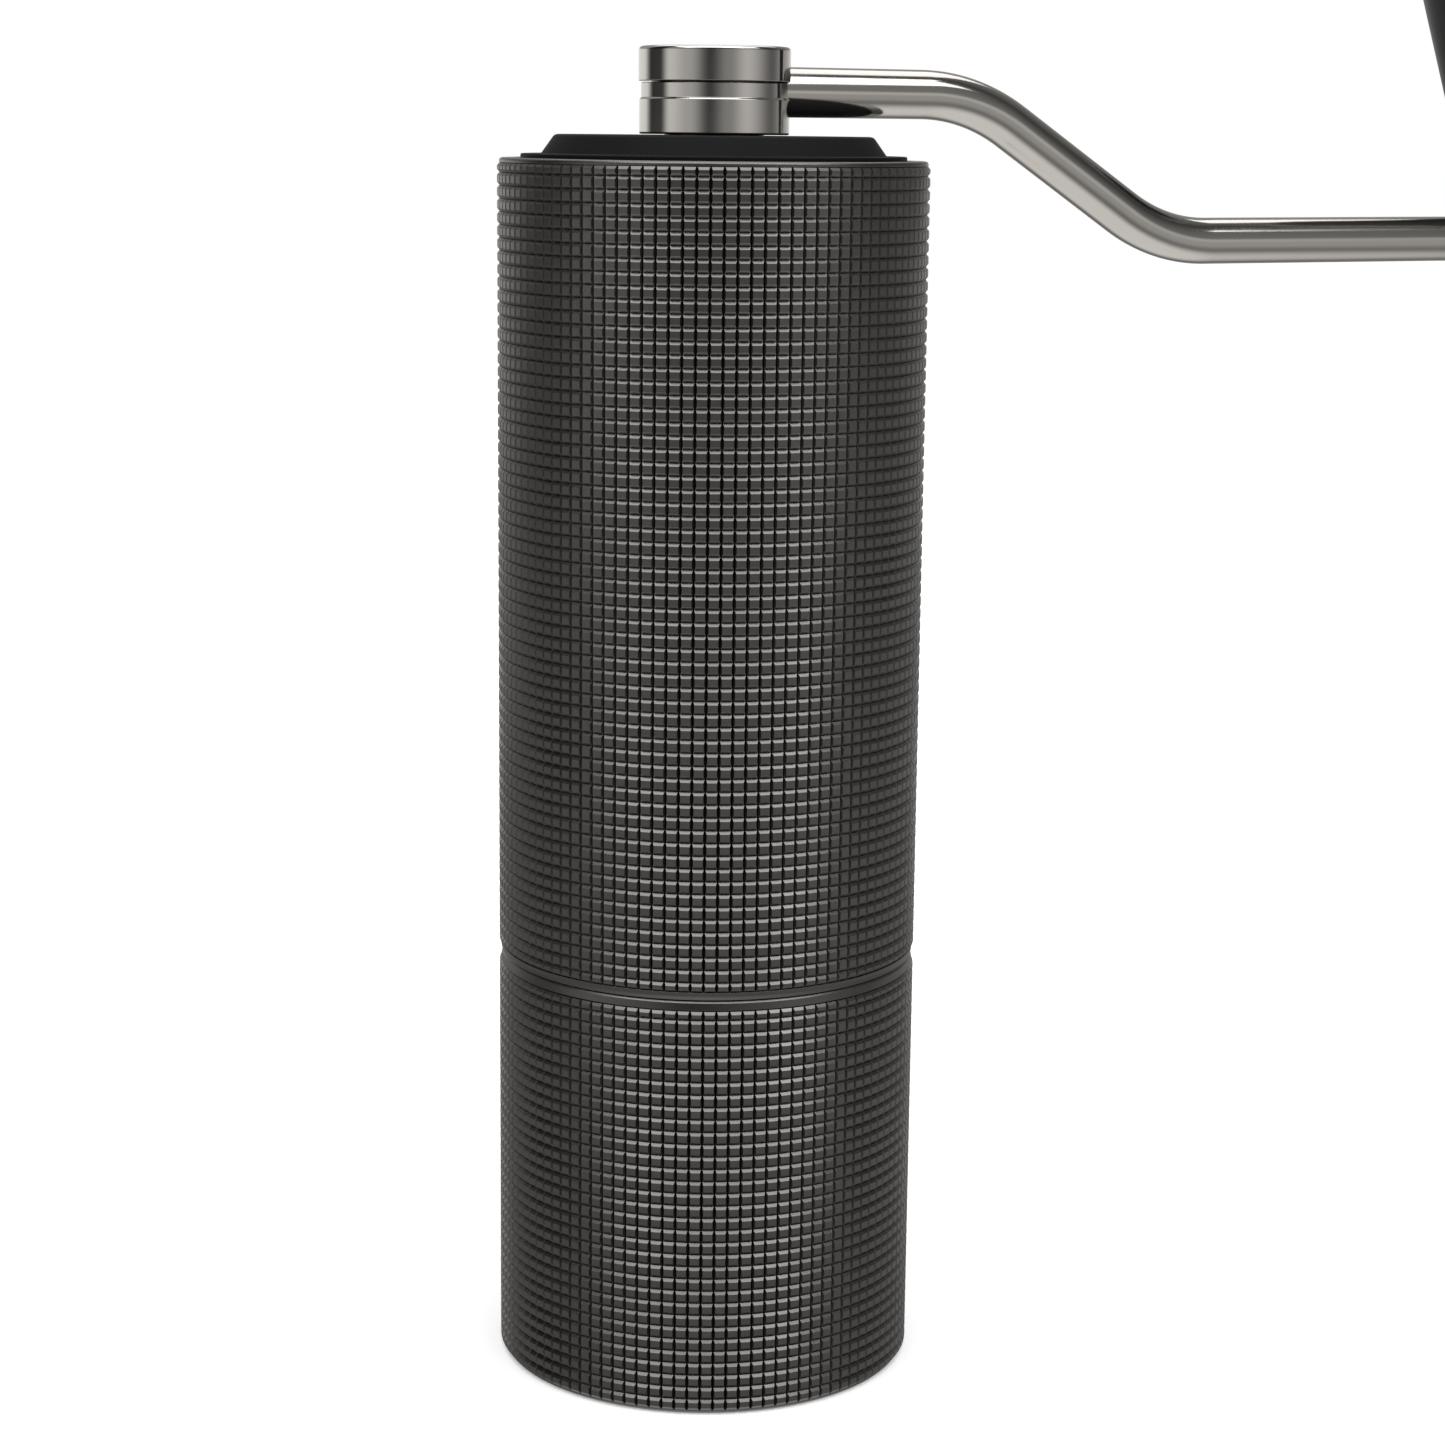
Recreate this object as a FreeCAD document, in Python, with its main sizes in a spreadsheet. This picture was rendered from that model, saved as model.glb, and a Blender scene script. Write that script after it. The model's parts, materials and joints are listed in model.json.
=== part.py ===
"""Hand crank coffee grinder with a slim barrel, a screw-on catch cup and a lift-off lid with its crank.

Millimetres, +Z up. The origin is the centre of the cup's flat base, and the crank arm points along +X.
The grinder is sized from the ring burr outwards, so every wall and fit follows the burr.
"""
import FreeCAD
import Part
import Sketcher
import math
import os
import re

# Driving dimensions, one cell each
DIMENSIONS = {
    # Ring burr and inner burr
    "ring_burr_d": "38",
    "ring_burr_height": "13",
    "ring_rim_wall": "2.5",
    "ring_throat_wall": "5.5",
    "ring_tooth_depth": "1.1",
    "burr_clearance": "0.4",
    "burr_overhang": "1",
    "inner_burr_height": "24.5",
    "fine_zone_height": "7",
    "fine_tooth_depth": "0.8",
    "flute_depth": "2.4",
    "nose_d": "14.4",
    # Burr carrier and its screws
    "burr_fit": "0.05",
    "carrier_wall": "3.75",
    "collar_length": "7.6",
    "funnel_lip": "1",
    "funnel_height": "12",
    "carrier_overlap": "2.5",
    "burr_screw_d": "2",
    "burr_screw_length": "6",
    "burr_screw_edge": "0.4",
    "burr_screw_head_d": "4.6",
    "burr_screw_head_height": "1.4",
    "burr_screw_key": "2",
    # Thread between collar and cup
    "thread_depth": "0.65",
    "thread_clearance": "0.3",
    "thread_pitch": "2.4",
    "thread_root": "0.9",
    "thread_crest": "0.5",
    "thread_inset": "1.5",
    "collar_thread_turns": "1.75",
    "cup_thread_turns": "1.25",
    "thread_sink": "0.3",
    # Cup, gasket and barrel
    "cup_wall": "2.25",
    "cup_floor": "2.5",
    "cup_height": "51.5",
    "cup_corner": "4",
    "base_round": "0.6",
    "gasket_thickness": "0.45",
    "gasket_inset": "0.2",
    "gasket_width": "1",
    "gasket_fit": "0.05",
    "joint_gap": "0.1",
    "joint_bevel": "0.4",
    "joint_bevel_height": "1.2",
    "shell_wall": "2.3",
    "shell_length": "97.35",
    "rim_round": "0.8",
    "rim_chamfer": "0.3",
    # Hopper liner
    "frame_fit": "0.05",
    "liner_wall": "2.15",
    "liner_recess": "0.4",
    "liner_chamfer": "0.5",
    # Ball bearings
    "bearing_bore": "8",
    "bearing_d": "16",
    "race_height": "5",
    "bearing_ring_wall": "1.2",
    "ball_d": "2.3",
    "ball_clearance": "0.06",
    "shield_thickness": "0.3",
    "shield_inset": "0.3",
    "shield_clearance": "0.15",
    "bearing_fit": "0.02",
    # Bridges that hold the bearings
    "bridge_arm_width": "5",
    "bridge_boss_wall": "3",
    "bridge_ledge": "1",
    "bridge_ledge_width": "1.6",
    "bridge_skirt": "1",
    "bridge_depth": "22.3",
    "bridge_ring_wall": "1.2",
    "bridge_fit": "0.05",
    # Drive shaft
    "shaft_shoulder": "0.75",
    "shaft_end_d": "7.2",
    "shaft_flats": "5.8",
    "shaft_core_d": "4.9",
    "shaft_thread_length": "8",
    "shaft_tip": "0.8",
    "shaft_hex": "6.8",
    "shaft_hex_length": "11.3",
    "key_fit": "0.05",
    # Burr spring
    "spring_room": "6.5",
    "spring_wire": "0.9",
    "spring_d": "9.4",
    "spring_turns": "4",
    "spring_washer": "0.6",
    "spring_washer_d": "11.2",
    # Grind dial
    "plate_thickness": "1",
    "plate_d": "21",
    "plate_hole_d": "1.4",
    "detent_circle_d": "17",
    "dial_gap": "0.1",
    "dial_d": "25",
    "dial_height": "9.4",
    "dial_floor": "1",
    "dial_grip_d": "2.2",
    "dial_edge": "0.8",
    "nut_hex": "12",
    "nut_fit": "0.05",
    "dial_pitch": "1",
    "dial_thread_depth": "0.4",
    "dial_thread_root": "0.4",
    "dial_thread_crest": "0.2",
    "dial_thread_clearance": "0.2",
    "nut_thread_turns": "6",
    "shaft_thread_turns": "6.5",
    "detent_ball_d": "1.8",
    "detent_fit": "0.1",
    "detent_spring_length": "2.4",
    "detent_wire": "0.3",
    "detent_spring_turns": "4",
    # Lid
    "lid_edge_gap": "0.5",
    "lid_flange": "0.9",
    "lid_flange_width": "2.45",
    "lid_bevel_run": "1.65",
    "lid_bevel_height": "2.3",
    "lid_round": "0.8",
    "lid_plate": "2.4",
    "lid_skirt_wall": "1.6",
    "lid_skirt_depth": "6",
    "lid_fit": "0.2",
    "lid_boss_wall": "2.4",
    "lid_boss_depth": "1.5",
    # Crank hub and cap
    "hub_gap": "0.1",
    "hub_d": "18",
    "hub_band": "4.1",
    "hub_neck": "1.75",
    "hub_neck_depth": "0.2",
    "hub_seat_d": "15.2",
    "cap_gap": "0.15",
    "cap_d": "18.2",
    "cap_height": "4.1",
    "cap_round": "0.45",
    "stem_d": "12",
    "stem_fit": "0.06",
    "stem_tail": "0.9",
    "socket_fit": "0.15",
    "socket_roof": "0.5",
    "shaft_top_gap": "0.5",
    "lid_washer": "0.5",
    "lid_washer_d": "16.4",
    "washer_fit": "0.1",
    "circlip_thickness": "0.8",
    "circlip_d": "15.6",
    "circlip_groove": "0.6",
    "circlip_play": "0.05",
    "circlip_mouth": "7",
    # Crank arm
    "rod_d": "6",
    "rod_rise": "5.1",
    "rod_tail": "5",
    "rod_fit": "0.02",
    "rod_drop": "18.2",
    "bend_radius": "25",
    "bend_beyond": "9.8",
    "bend_run": "29.3",
    "arm_reach": "124",
    "eye_d": "10",
    "eye_height": "7",
    # Knob and its axle
    "axle_d": "6",
    "axle_tail_d": "4",
    "axle_rivet_d": "6",
    "axle_rivet": "0.8",
    "axle_head_d": "9.6",
    "axle_head": "2.4",
    "axle_fit": "0.05",
    "bush_wall": "1.5",
    "bush_fit": "0.02",
    "knob_gap": "0.4",
    "knob_base_d": "11",
    "knob_base_round": "0.6",
    "knob_taper": "15.6",
    "knob_taper_height": "31.9",
    "knob_crown_round": "8",
    "knob_head_room": "0.4",
    "plug_land": "0.5",
    "plug_thickness": "2.2",
    "plug_fit": "0.05",
}

# Counts of repeated features
RING_TEETH = 36
FINE_TEETH = 40
FLUTES = 6
BRIDGE_ARMS = 3
BURR_SCREWS = 3
BALLS = 7
PLATE_HOLES = 12
DIAL_GRIPS = 20
DETENTS = 2

# Corners of one burr tooth: share of its pitch, and whether it lies on the crest
TOOTH_CORNERS = ((0.0, False), (0.35, True), (0.7, True))
FLUTE_SECTIONS = 4

# First bridge arm's direction and first dial grip's, degrees from the crank arm
BRIDGE_START = 60
GRIP_START = 9

# Twist of the burr teeth over their height, degrees
RING_TWIST = 14
FINE_TWIST = 9
FLUTE_TWIST = 55

# Radii and levels worked out from the driving dimensions
DERIVED = {
    # Radii, from the burr outwards
    "ring_r": "ring_burr_d / 2",
    "seat_r": "ring_r + burr_fit",
    "collar_r": "seat_r + carrier_wall",
    "cup_bore_r": "collar_r + thread_depth + thread_clearance",
    "barrel_r": "cup_bore_r + cup_wall",
    "shell_bore_r": "barrel_r - shell_wall",
    "frame_r": "shell_bore_r - frame_fit",
    "hopper_r": "frame_r - liner_wall",
    "screw_circle_r": "seat_r + burr_screw_edge + burr_screw_d / 2",
    "throat_r": "ring_r - ring_throat_wall + ring_tooth_depth",
    "bearing_seat_r": "bearing_d / 2 + bearing_fit",
    "boss_r": "bearing_seat_r + bridge_boss_wall",
    "ledge_r": "bearing_d / 2 - bridge_ledge_width",
    "journal_r": "bearing_bore / 2 - bearing_fit",
    # Levels, from the base upwards
    "barrel_bottom": "cup_height + gasket_thickness",
    "joint_top": "barrel_bottom - joint_gap",
    "rim": "barrel_bottom + shell_length",
    "collar_bottom": "barrel_bottom - collar_length",
    "ring_top": "collar_bottom + ring_burr_height",
    "burr_bottom": "collar_bottom - burr_overhang",
    "burr_top": "burr_bottom + inner_burr_height",
    "boss_height": "bridge_skirt + race_height + bridge_ledge",
    "lower_boss": "burr_top + spring_room",
    "lower_bearing": "lower_boss + bridge_ledge",
    "lower_boss_top": "lower_boss + boss_height",
    "carrier_top": "lower_boss_top + carrier_overlap",
    "upper_boss_top": "rim - bridge_depth",
    "upper_boss": "upper_boss_top - boss_height",
    "upper_bearing": "upper_boss_top - bridge_ledge - race_height",
    "liner_top": "rim - liner_recess",
    # Lid and crank
    "flange_top": "liner_top + lid_flange",
    "lid_top": "flange_top + lid_bevel_height",
    "lid_under": "lid_top - lid_plate",
    "lid_boss_bottom": "lid_under - lid_boss_depth",
    "flange_r": "shell_bore_r - lid_edge_gap",
    "skirt_r": "hopper_r - lid_fit",
    "stem_bore_r": "stem_d / 2 + stem_fit",
    "hub_bottom": "lid_top + hub_gap",
    "hub_top": "hub_bottom + hub_band + hub_neck_depth + hub_neck",
    "cap_bottom": "hub_top + cap_gap",
    "rod_z": "hub_bottom + rod_rise",
    "socket_top": "rod_z - rod_d / 2 - socket_roof",
    "shaft_top": "socket_top - shaft_top_gap",
    "washer_top": "lid_boss_bottom - hub_gap",
    "clip_top": "washer_top - lid_washer - circlip_play",
    "clip_bottom": "clip_top - circlip_thickness",
    "stem_bottom": "clip_bottom - stem_tail",
    # Grind dial
    "plate_bottom": "burr_bottom - plate_thickness",
    "dial_top": "plate_bottom - dial_gap",
    "dial_bottom": "dial_top - dial_height",
    "nut_bottom": "dial_bottom + dial_floor",
    "shaft_bottom": "plate_bottom - shaft_thread_length",
    "shaft_thread_start": "shaft_bottom + shaft_tip",
    "dial_bore_r": "shaft_core_d / 2 + dial_thread_depth + dial_thread_clearance",
    # Crank arm and knob
    "low_z": "rod_z - rod_drop",
    "bend_x": "barrel_r + bend_beyond",
    "bend_angle": "atan(rod_drop / bend_run)",
    "bend_tangent": "bend_radius * tan(bend_angle / 2)",
    "eye_top": "low_z + eye_height / 2",
    "eye_bottom": "low_z - eye_height / 2",
    "knob_bottom": "eye_top + knob_gap",
    "knob_shoulder": "knob_bottom + knob_base_round + knob_taper_height",
    "knob_shoulder_r": "knob_base_d / 2 + knob_taper_height * tan(knob_taper)",
    "crown_r": "knob_shoulder_r - knob_crown_round * cos(knob_taper)",
    "knob_top": "knob_shoulder + knob_crown_round * sin(knob_taper) + knob_crown_round",
    "bush_r": "axle_d / 2 + axle_fit + bush_wall",
    "plug_r": "crown_r - plug_land",
    "plug_bottom": "knob_top - plug_thickness",
    "axle_head_top": "plug_bottom - knob_head_room",
    "axle_head_bottom": "axle_head_top - axle_head",
    "bush_top": "axle_head_bottom - knob_head_room",
}

WORD = re.compile(r"[a-z][a-z0-9_]*")
# Two edges count as the same corner within this distance
SAME_CORNER = 1e-4

doc = FreeCAD.newDocument("coffee_grinder")
sheet = doc.addObject("Spreadsheet::Sheet", "dims")
for row, (alias, number) in enumerate(DIMENSIONS.items(), start=1):
    sheet.set(f"A{row}", alias)
    sheet.set(f"B{row}", number)
    sheet.setAlias(f"B{row}", alias)
doc.recompute()

nodes = []


def formula(text):
    """The sheet's expression for a size written in plain names."""
    def swap(match):
        name = match.group()
        if name in DERIVED:
            return f"({formula(DERIVED[name])})"
        return f"dims.{name}" if name in DIMENSIONS else name
    return WORD.sub(swap, text)


def value(text):
    """The number, in millimetres or degrees, of a size written in plain names."""
    return float(sheet.evalExpression(formula(text)))


def node(piece):
    """Mark a finished piece as one of the object's separate parts."""
    nodes.append(piece)
    return piece


def origin_plane(body, role):
    """The origin plane of a body that has the given role."""
    return next(feature for feature in body.Origin.OriginFeatures if feature.Role == role)


def arc_between(start, end, radius):
    """The arc from start to end: centre on the left of the way for a positive radius, else on the right."""
    chord = end - start
    half = chord.Length / 2
    left = FreeCAD.Vector(-chord.y, chord.x, 0).normalize()
    rise = math.sqrt(max(radius ** 2 - half ** 2, 0))
    centre = start + chord * 0.5 + left * (rise if radius > 0 else -rise)
    first, last = (start, end) if radius > 0 else (end, start)
    angles = [math.atan2(point.y - centre.y, point.x - centre.x) for point in (first, last)]
    circle = Part.Circle(centre, FreeCAD.Vector(0, 0, 1), abs(radius))
    return Part.ArcOfCircle(circle, *angles)


def pin_point(sketch, geometry, vertex, corner):
    """Hold one sketch point at a (across, up) pair of sizes."""
    for kind, axis, size in (("DistanceX", -2, corner[0]), ("DistanceY", -1, corner[1])):
        if size == "0":
            sketch.addConstraint(Sketcher.Constraint("PointOnObject", geometry, vertex, axis))
        else:
            index = sketch.addConstraint(Sketcher.Constraint(kind, -1, 1, geometry, vertex, value(size)))
            sketch.setExpression(f"Constraints[{index}]", formula(size))


def draw(body, name, corners, plane="XZ_Plane", closed=True):
    """A sketch through (across, up) corners; a third entry is the radius of the arc arriving there."""
    sketch = body.newObject("Sketcher::SketchObject", name)
    sketch.AttachmentSupport = [(origin_plane(body, plane), "")]
    sketch.MapMode = "FlatFace"
    spots = [FreeCAD.Vector(value(corner[0]), value(corner[1]), 0) for corner in corners]
    count = len(corners)
    ends = []
    for index in range(count if closed else count - 1):
        following = (index + 1) % count
        if len(corners[following]) == 3:
            radius = value(corners[following][2])
            sketch.addGeometry(arc_between(spots[index], spots[following], radius), False)
            ends.append((1, 2) if radius > 0 else (2, 1))
        else:
            sketch.addGeometry(Part.LineSegment(spots[index], spots[following]), False)
            ends.append((1, 2))
    for index, (first, last) in enumerate(ends):
        if closed or index + 1 < len(ends):
            following = (index + 1) % count
            joined = (index, last, following, ends[following][0])
            sketch.addConstraint(Sketcher.Constraint("Coincident", *joined))
        pin_point(sketch, index, first, corners[index])
    if not closed:
        pin_point(sketch, count - 2, ends[-1][1], corners[-1])
    for index in range(len(ends)):
        arrival = corners[(index + 1) % count]
        if len(arrival) == 3:
            size = arrival[2].lstrip("-")
            place = sketch.addConstraint(Sketcher.Constraint("Radius", index, value(size)))
            sketch.setExpression(f"Constraints[{place}]", formula(size))
    return sketch


def turned(label, corners):
    """A turned piece: a closed outline of (radius, height) corners, counterclockwise, swept about Z."""
    body = doc.addObject("PartDesign::Body", label)
    sketch = draw(body, f"{label}_outline", corners)
    sweep = body.newObject("PartDesign::Revolution", f"{label}_turning")
    sweep.Profile = sketch
    sweep.ReferenceAxis = (sketch, ["V_Axis"])
    sweep.Angle = 360
    doc.recompute()
    return body


def tube(label, inner, outer, bottom, top):
    """A plain ring or sleeve about Z."""
    return turned(label, [(inner, bottom), (outer, bottom), (outer, top), (inner, top)])


def rounded(body, corner, radius):
    """Round the circular edge of a turned piece at one (radius, height) corner."""
    base = body.Tip
    across, up = value(corner[0]), value(corner[1])
    names = []
    for index, edge in enumerate(base.Shape.Edges, start=1):
        points = [vertex.Point for vertex in edge.Vertexes]
        if all(abs(math.hypot(p.x, p.y) - across) + abs(p.z - up) < SAME_CORNER for p in points):
            names.append(f"Edge{index}")
    fillet = body.newObject("PartDesign::Fillet", f"{body.Label}_round")
    fillet.Base = (base, names)
    fillet.setExpression("Radius", formula(radius))
    doc.recompute()


def threaded(body, corners, pitch, turns):
    """Add a right-hand helical ridge about Z to a turned piece; corners outline the ridge."""
    sketch = draw(body, f"{body.Label}_ridge", corners)
    doc.recompute()
    ridge = body.newObject("PartDesign::AdditiveHelix", f"{body.Label}_thread")
    ridge.Profile = sketch
    ridge.ReferenceAxis = (sketch, ["V_Axis"])
    ridge.Mode = "pitch-turns-angle"
    ridge.setExpression("Pitch", formula(pitch))
    ridge.setExpression("Turns", formula(turns))
    doc.recompute()
    return body


def continued(label, base):
    """A body that goes on from a piece made of primitives."""
    body = doc.addObject("PartDesign::Body", label)
    body.BaseFeature = base
    doc.recompute()
    return body


def coil(label, mean_d, wire, bottom, length, turns):
    """A helical spring about Z, with round wire, standing between bottom and bottom plus length."""
    body = doc.addObject("PartDesign::Body", label)
    sketch = body.newObject("Sketcher::SketchObject", f"{label}_wire")
    sketch.AttachmentSupport = [(origin_plane(body, "XZ_Plane"), "")]
    sketch.MapMode = "FlatFace"
    centre = (f"{mean_d} / 2", f"{bottom} + {wire} / 2")
    spot = FreeCAD.Vector(value(centre[0]), value(centre[1]), 0)
    sketch.addGeometry(Part.Circle(spot, FreeCAD.Vector(0, 0, 1), value(f"{wire} / 2")), False)
    pin_point(sketch, 0, 3, centre)
    place = sketch.addConstraint(Sketcher.Constraint("Radius", 0, value(f"{wire} / 2")))
    sketch.setExpression(f"Constraints[{place}]", formula(f"{wire} / 2"))
    doc.recompute()
    helix = body.newObject("PartDesign::AdditiveHelix", f"{label}_turns")
    helix.Profile = sketch
    helix.ReferenceAxis = (sketch, ["V_Axis"])
    helix.Mode = "height-turns-angle"
    helix.setExpression("Height", formula(f"{length} - {wire}"))
    helix.setExpression("Turns", formula(turns))
    doc.recompute()
    return body


def primitive(kind, label, sizes, spot=("0", "0", "0"), axis=None, angle=0):
    """A Part primitive with its sizes and its place bound to the sheet."""
    piece = doc.addObject(kind, label)
    for name, size in sizes.items():
        piece.setExpression(name, formula(size))
    if axis is not None:
        piece.Placement = FreeCAD.Placement(FreeCAD.Vector(), FreeCAD.Rotation(axis, angle))
    for name, size in zip("xyz", spot):
        if size != "0":
            piece.setExpression(f"Placement.Base.{name}", formula(size))
    return piece


def cylinder(label, radius, bottom, top, x="0", y="0"):
    """An upright cylinder."""
    sizes = {"Radius": radius, "Height": f"({top}) - ({bottom})"}
    return primitive("Part::Cylinder", label, sizes, (x, y, bottom))


def hexagon(label, across, bottom, top, x="0", y="0"):
    """An upright hexagonal prism, sized across its flats."""
    sizes = {"Circumradius": f"({across}) / sqrt(3)", "Height": f"({top}) - ({bottom})"}
    prism = primitive("Part::Prism", label, sizes, (x, y, bottom))
    prism.Polygon = 6
    return prism


def on_circle(radius, index, count, start=0):
    """The x and y sizes of one of several places evenly spaced on a circle."""
    angle = start + 360 * index / count
    return f"({radius}) * cos({angle:g})", f"({radius}) * sin({angle:g})"


def fused(label, pieces):
    """One solid of pieces that run into each other."""
    piece = doc.addObject("Part::MultiFuse", label)
    piece.Shapes = pieces
    doc.recompute()
    return piece


def cut(label, base, tools):
    """A piece with one or more tools taken out of it."""
    piece = doc.addObject("Part::Cut", label)
    piece.Base = base
    piece.Tool = tools[0] if len(tools) == 1 else fused(f"{label}_tools", tools)
    doc.recompute()
    return piece


def grouped(label, pieces):
    """Separate like solids that share one node."""
    group = doc.addObject("Part::Compound", label)
    group.Links = pieces
    doc.recompute()
    return group


def shaped(label, shape):
    """A piece whose form comes from a formula."""
    piece = doc.addObject("Part::Feature", label)
    piece.Shape = shape
    piece.Placement = FreeCAD.Placement()
    return piece


def bridge_arms(label, reach, bottom, top):
    """Three arms from the axis into the wall or ring that carries them."""
    arms = []
    sizes = {
        "Length": reach,
        "Width": "bridge_arm_width",
        "Height": f"({top}) - ({bottom})",
    }
    for index in range(BRIDGE_ARMS):
        angle = BRIDGE_START + 360 * index / BRIDGE_ARMS
        spot = (f"bridge_arm_width / 2 * sin({angle:g})", f"-bridge_arm_width / 2 * cos({angle:g})", bottom)
        name = f"{label}_arm_{index + 1}"
        arms.append(primitive("Part::Box", name, sizes, spot, FreeCAD.Vector(0, 0, 1), angle))
    return arms


def double_flat(label, diameter, flats, bottom, top):
    """A round bar with two flats across Y."""
    bar = cylinder(f"{label}_bar", f"({diameter}) / 2", bottom, top)
    sizes = {"Length": diameter, "Width": flats, "Height": f"({top}) - ({bottom})"}
    slab = primitive("Part::Box", f"{label}_slab", sizes, (f"-({diameter}) / 2", f"-({flats}) / 2", bottom))
    common = doc.addObject("Part::Common", label)
    common.Base = bar
    common.Tool = slab
    doc.recompute()
    return common


def tooth_ring(count, crest, root, height, twist):
    """A closed polygon with flat-topped teeth, as a section of a burr."""
    corners = []
    for index in range(count):
        for share, on_crest in TOOTH_CORNERS:
            radius = crest if on_crest else root
            angle = 2 * math.pi * (index + share) / count + math.radians(twist)
            corners.append(FreeCAD.Vector(radius * math.cos(angle), radius * math.sin(angle), height))
    return Part.makePolygon(corners + corners[:1])


def make_body_shell():
    """The barrel: an aluminium tube with a rounded rim and a bevelled lower edge."""
    shell = turned("body_shell", [
        ("shell_bore_r", "barrel_bottom"),
        ("barrel_r - joint_bevel", "barrel_bottom"),
        ("barrel_r", "barrel_bottom + joint_bevel_height"),
        ("barrel_r", "rim"),
        ("shell_bore_r + rim_chamfer", "rim"),
        ("shell_bore_r", "rim - rim_chamfer"),
    ])
    rounded(shell, ("barrel_r", "rim"), "rim_round")
    node(shell)


def make_hopper_liner():
    """The plastic tube inside the barrel, with the bridge that holds the upper bearing."""
    wall = turned("liner_wall_tube", [
        ("hopper_r", "carrier_top"),
        ("frame_r", "carrier_top"),
        ("frame_r", "liner_top"),
        ("hopper_r + liner_chamfer", "liner_top"),
        ("hopper_r", "liner_top - liner_chamfer"),
    ])
    boss = cylinder("liner_boss", "boss_r", "upper_boss", "upper_boss_top")
    arms = bridge_arms("liner", "hopper_r + liner_wall / 2", "upper_boss", "upper_boss_top")
    frame = fused("liner_frame", [wall, boss] + arms)
    seat = cylinder("liner_seat", "bearing_seat_r", "upper_boss", "upper_bearing + race_height")
    opening = cylinder("liner_opening", "ledge_r", "upper_boss", "upper_boss_top")
    node(cut("hopper_liner", frame, [seat, opening]))


def make_burr_carrier():
    """The lower frame: funnel, burr seat and the threaded collar that takes the cup."""
    wall = turned("carrier_wall_body", [
        ("seat_r", "collar_bottom"),
        ("collar_r", "collar_bottom"),
        ("collar_r", "barrel_bottom"),
        ("frame_r", "barrel_bottom"),
        ("frame_r", "carrier_top"),
        ("hopper_r", "carrier_top"),
        ("hopper_r", "ring_top + funnel_lip + funnel_height"),
        ("throat_r", "ring_top + funnel_lip"),
        ("throat_r", "ring_top"),
        ("seat_r", "ring_top"),
    ])
    tools = []
    for index in range(BURR_SCREWS):
        x, y = on_circle("screw_circle_r", index, BURR_SCREWS)
        name = f"carrier_screw_hole_{index + 1}"
        top = "collar_bottom + burr_screw_length"
        tools.append(cylinder(name, "burr_screw_d / 2", "collar_bottom", top, x, y))
    carrier = continued("burr_carrier", cut("carrier_blank", wall, tools))
    start = "collar_bottom + thread_inset"
    node(threaded(carrier, [
        ("collar_r - thread_sink", f"{start} - thread_root / 2"),
        ("collar_r + thread_depth", f"{start} - thread_crest / 2"),
        ("collar_r + thread_depth", f"{start} + thread_crest / 2"),
        ("collar_r - thread_sink", f"{start} + thread_root / 2"),
    ], "thread_pitch", "collar_thread_turns"))


def make_lower_bridge():
    """The ring with three arms, pressed into the carrier, that holds the lower bearing."""
    outer = "hopper_r - bridge_fit"
    ring = tube("bridge_ring", f"{outer} - bridge_ring_wall", outer, "lower_boss", "lower_boss_top")
    boss = cylinder("bridge_boss", "boss_r", "lower_boss", "lower_boss_top")
    arms = bridge_arms("bridge", f"{outer} - bridge_ring_wall / 2", "lower_boss", "lower_boss_top")
    frame = fused("bridge_frame", [ring, boss] + arms)
    seat = cylinder("bridge_seat", "bearing_seat_r", "lower_bearing", "lower_boss_top")
    opening = cylinder("bridge_opening", "ledge_r", "lower_boss", "lower_boss_top")
    node(cut("lower_bridge", frame, [seat, opening]))


def make_ring_burr():
    """The outer burr: a steel ring with slanted teeth in a bore that widens downwards."""
    bottom, top = value("collar_bottom"), value("ring_top")
    depth = value("ring_tooth_depth")
    rim_r = value("ring_r - ring_rim_wall")
    throat_r = value("ring_r - ring_throat_wall")
    blank = Part.makeCylinder(value("ring_r"), top - bottom, FreeCAD.Vector(0, 0, bottom))
    sections = [
        tooth_ring(RING_TEETH, rim_r, rim_r + depth, bottom, 0),
        tooth_ring(RING_TEETH, throat_r, throat_r + depth, top, RING_TWIST),
    ]
    node(shaped("ring_burr", blank.cut(Part.makeLoft(sections, True, True))))


def make_burr_screws():
    """Three small socket screws whose heads hold the ring burr in its seat."""
    screws = []
    head_bottom = "collar_bottom - burr_screw_head_height"
    for index in range(BURR_SCREWS):
        x, y = on_circle("screw_circle_r", index, BURR_SCREWS)
        name = f"burr_screw_{index + 1}"
        tip = "collar_bottom + burr_screw_length"
        shank = cylinder(f"{name}_shank", "burr_screw_d / 2", "collar_bottom", tip, x, y)
        head = cylinder(f"{name}_head", "burr_screw_head_d / 2", head_bottom, "collar_bottom", x, y)
        socket_end = "collar_bottom - burr_screw_head_height / 2"
        socket = hexagon(f"{name}_socket", "burr_screw_key", head_bottom, socket_end, x, y)
        screws.append(cut(name, fused(f"{name}_blank", [shank, head]), [socket]))
    node(grouped("ring_burr_screws", screws))


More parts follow.
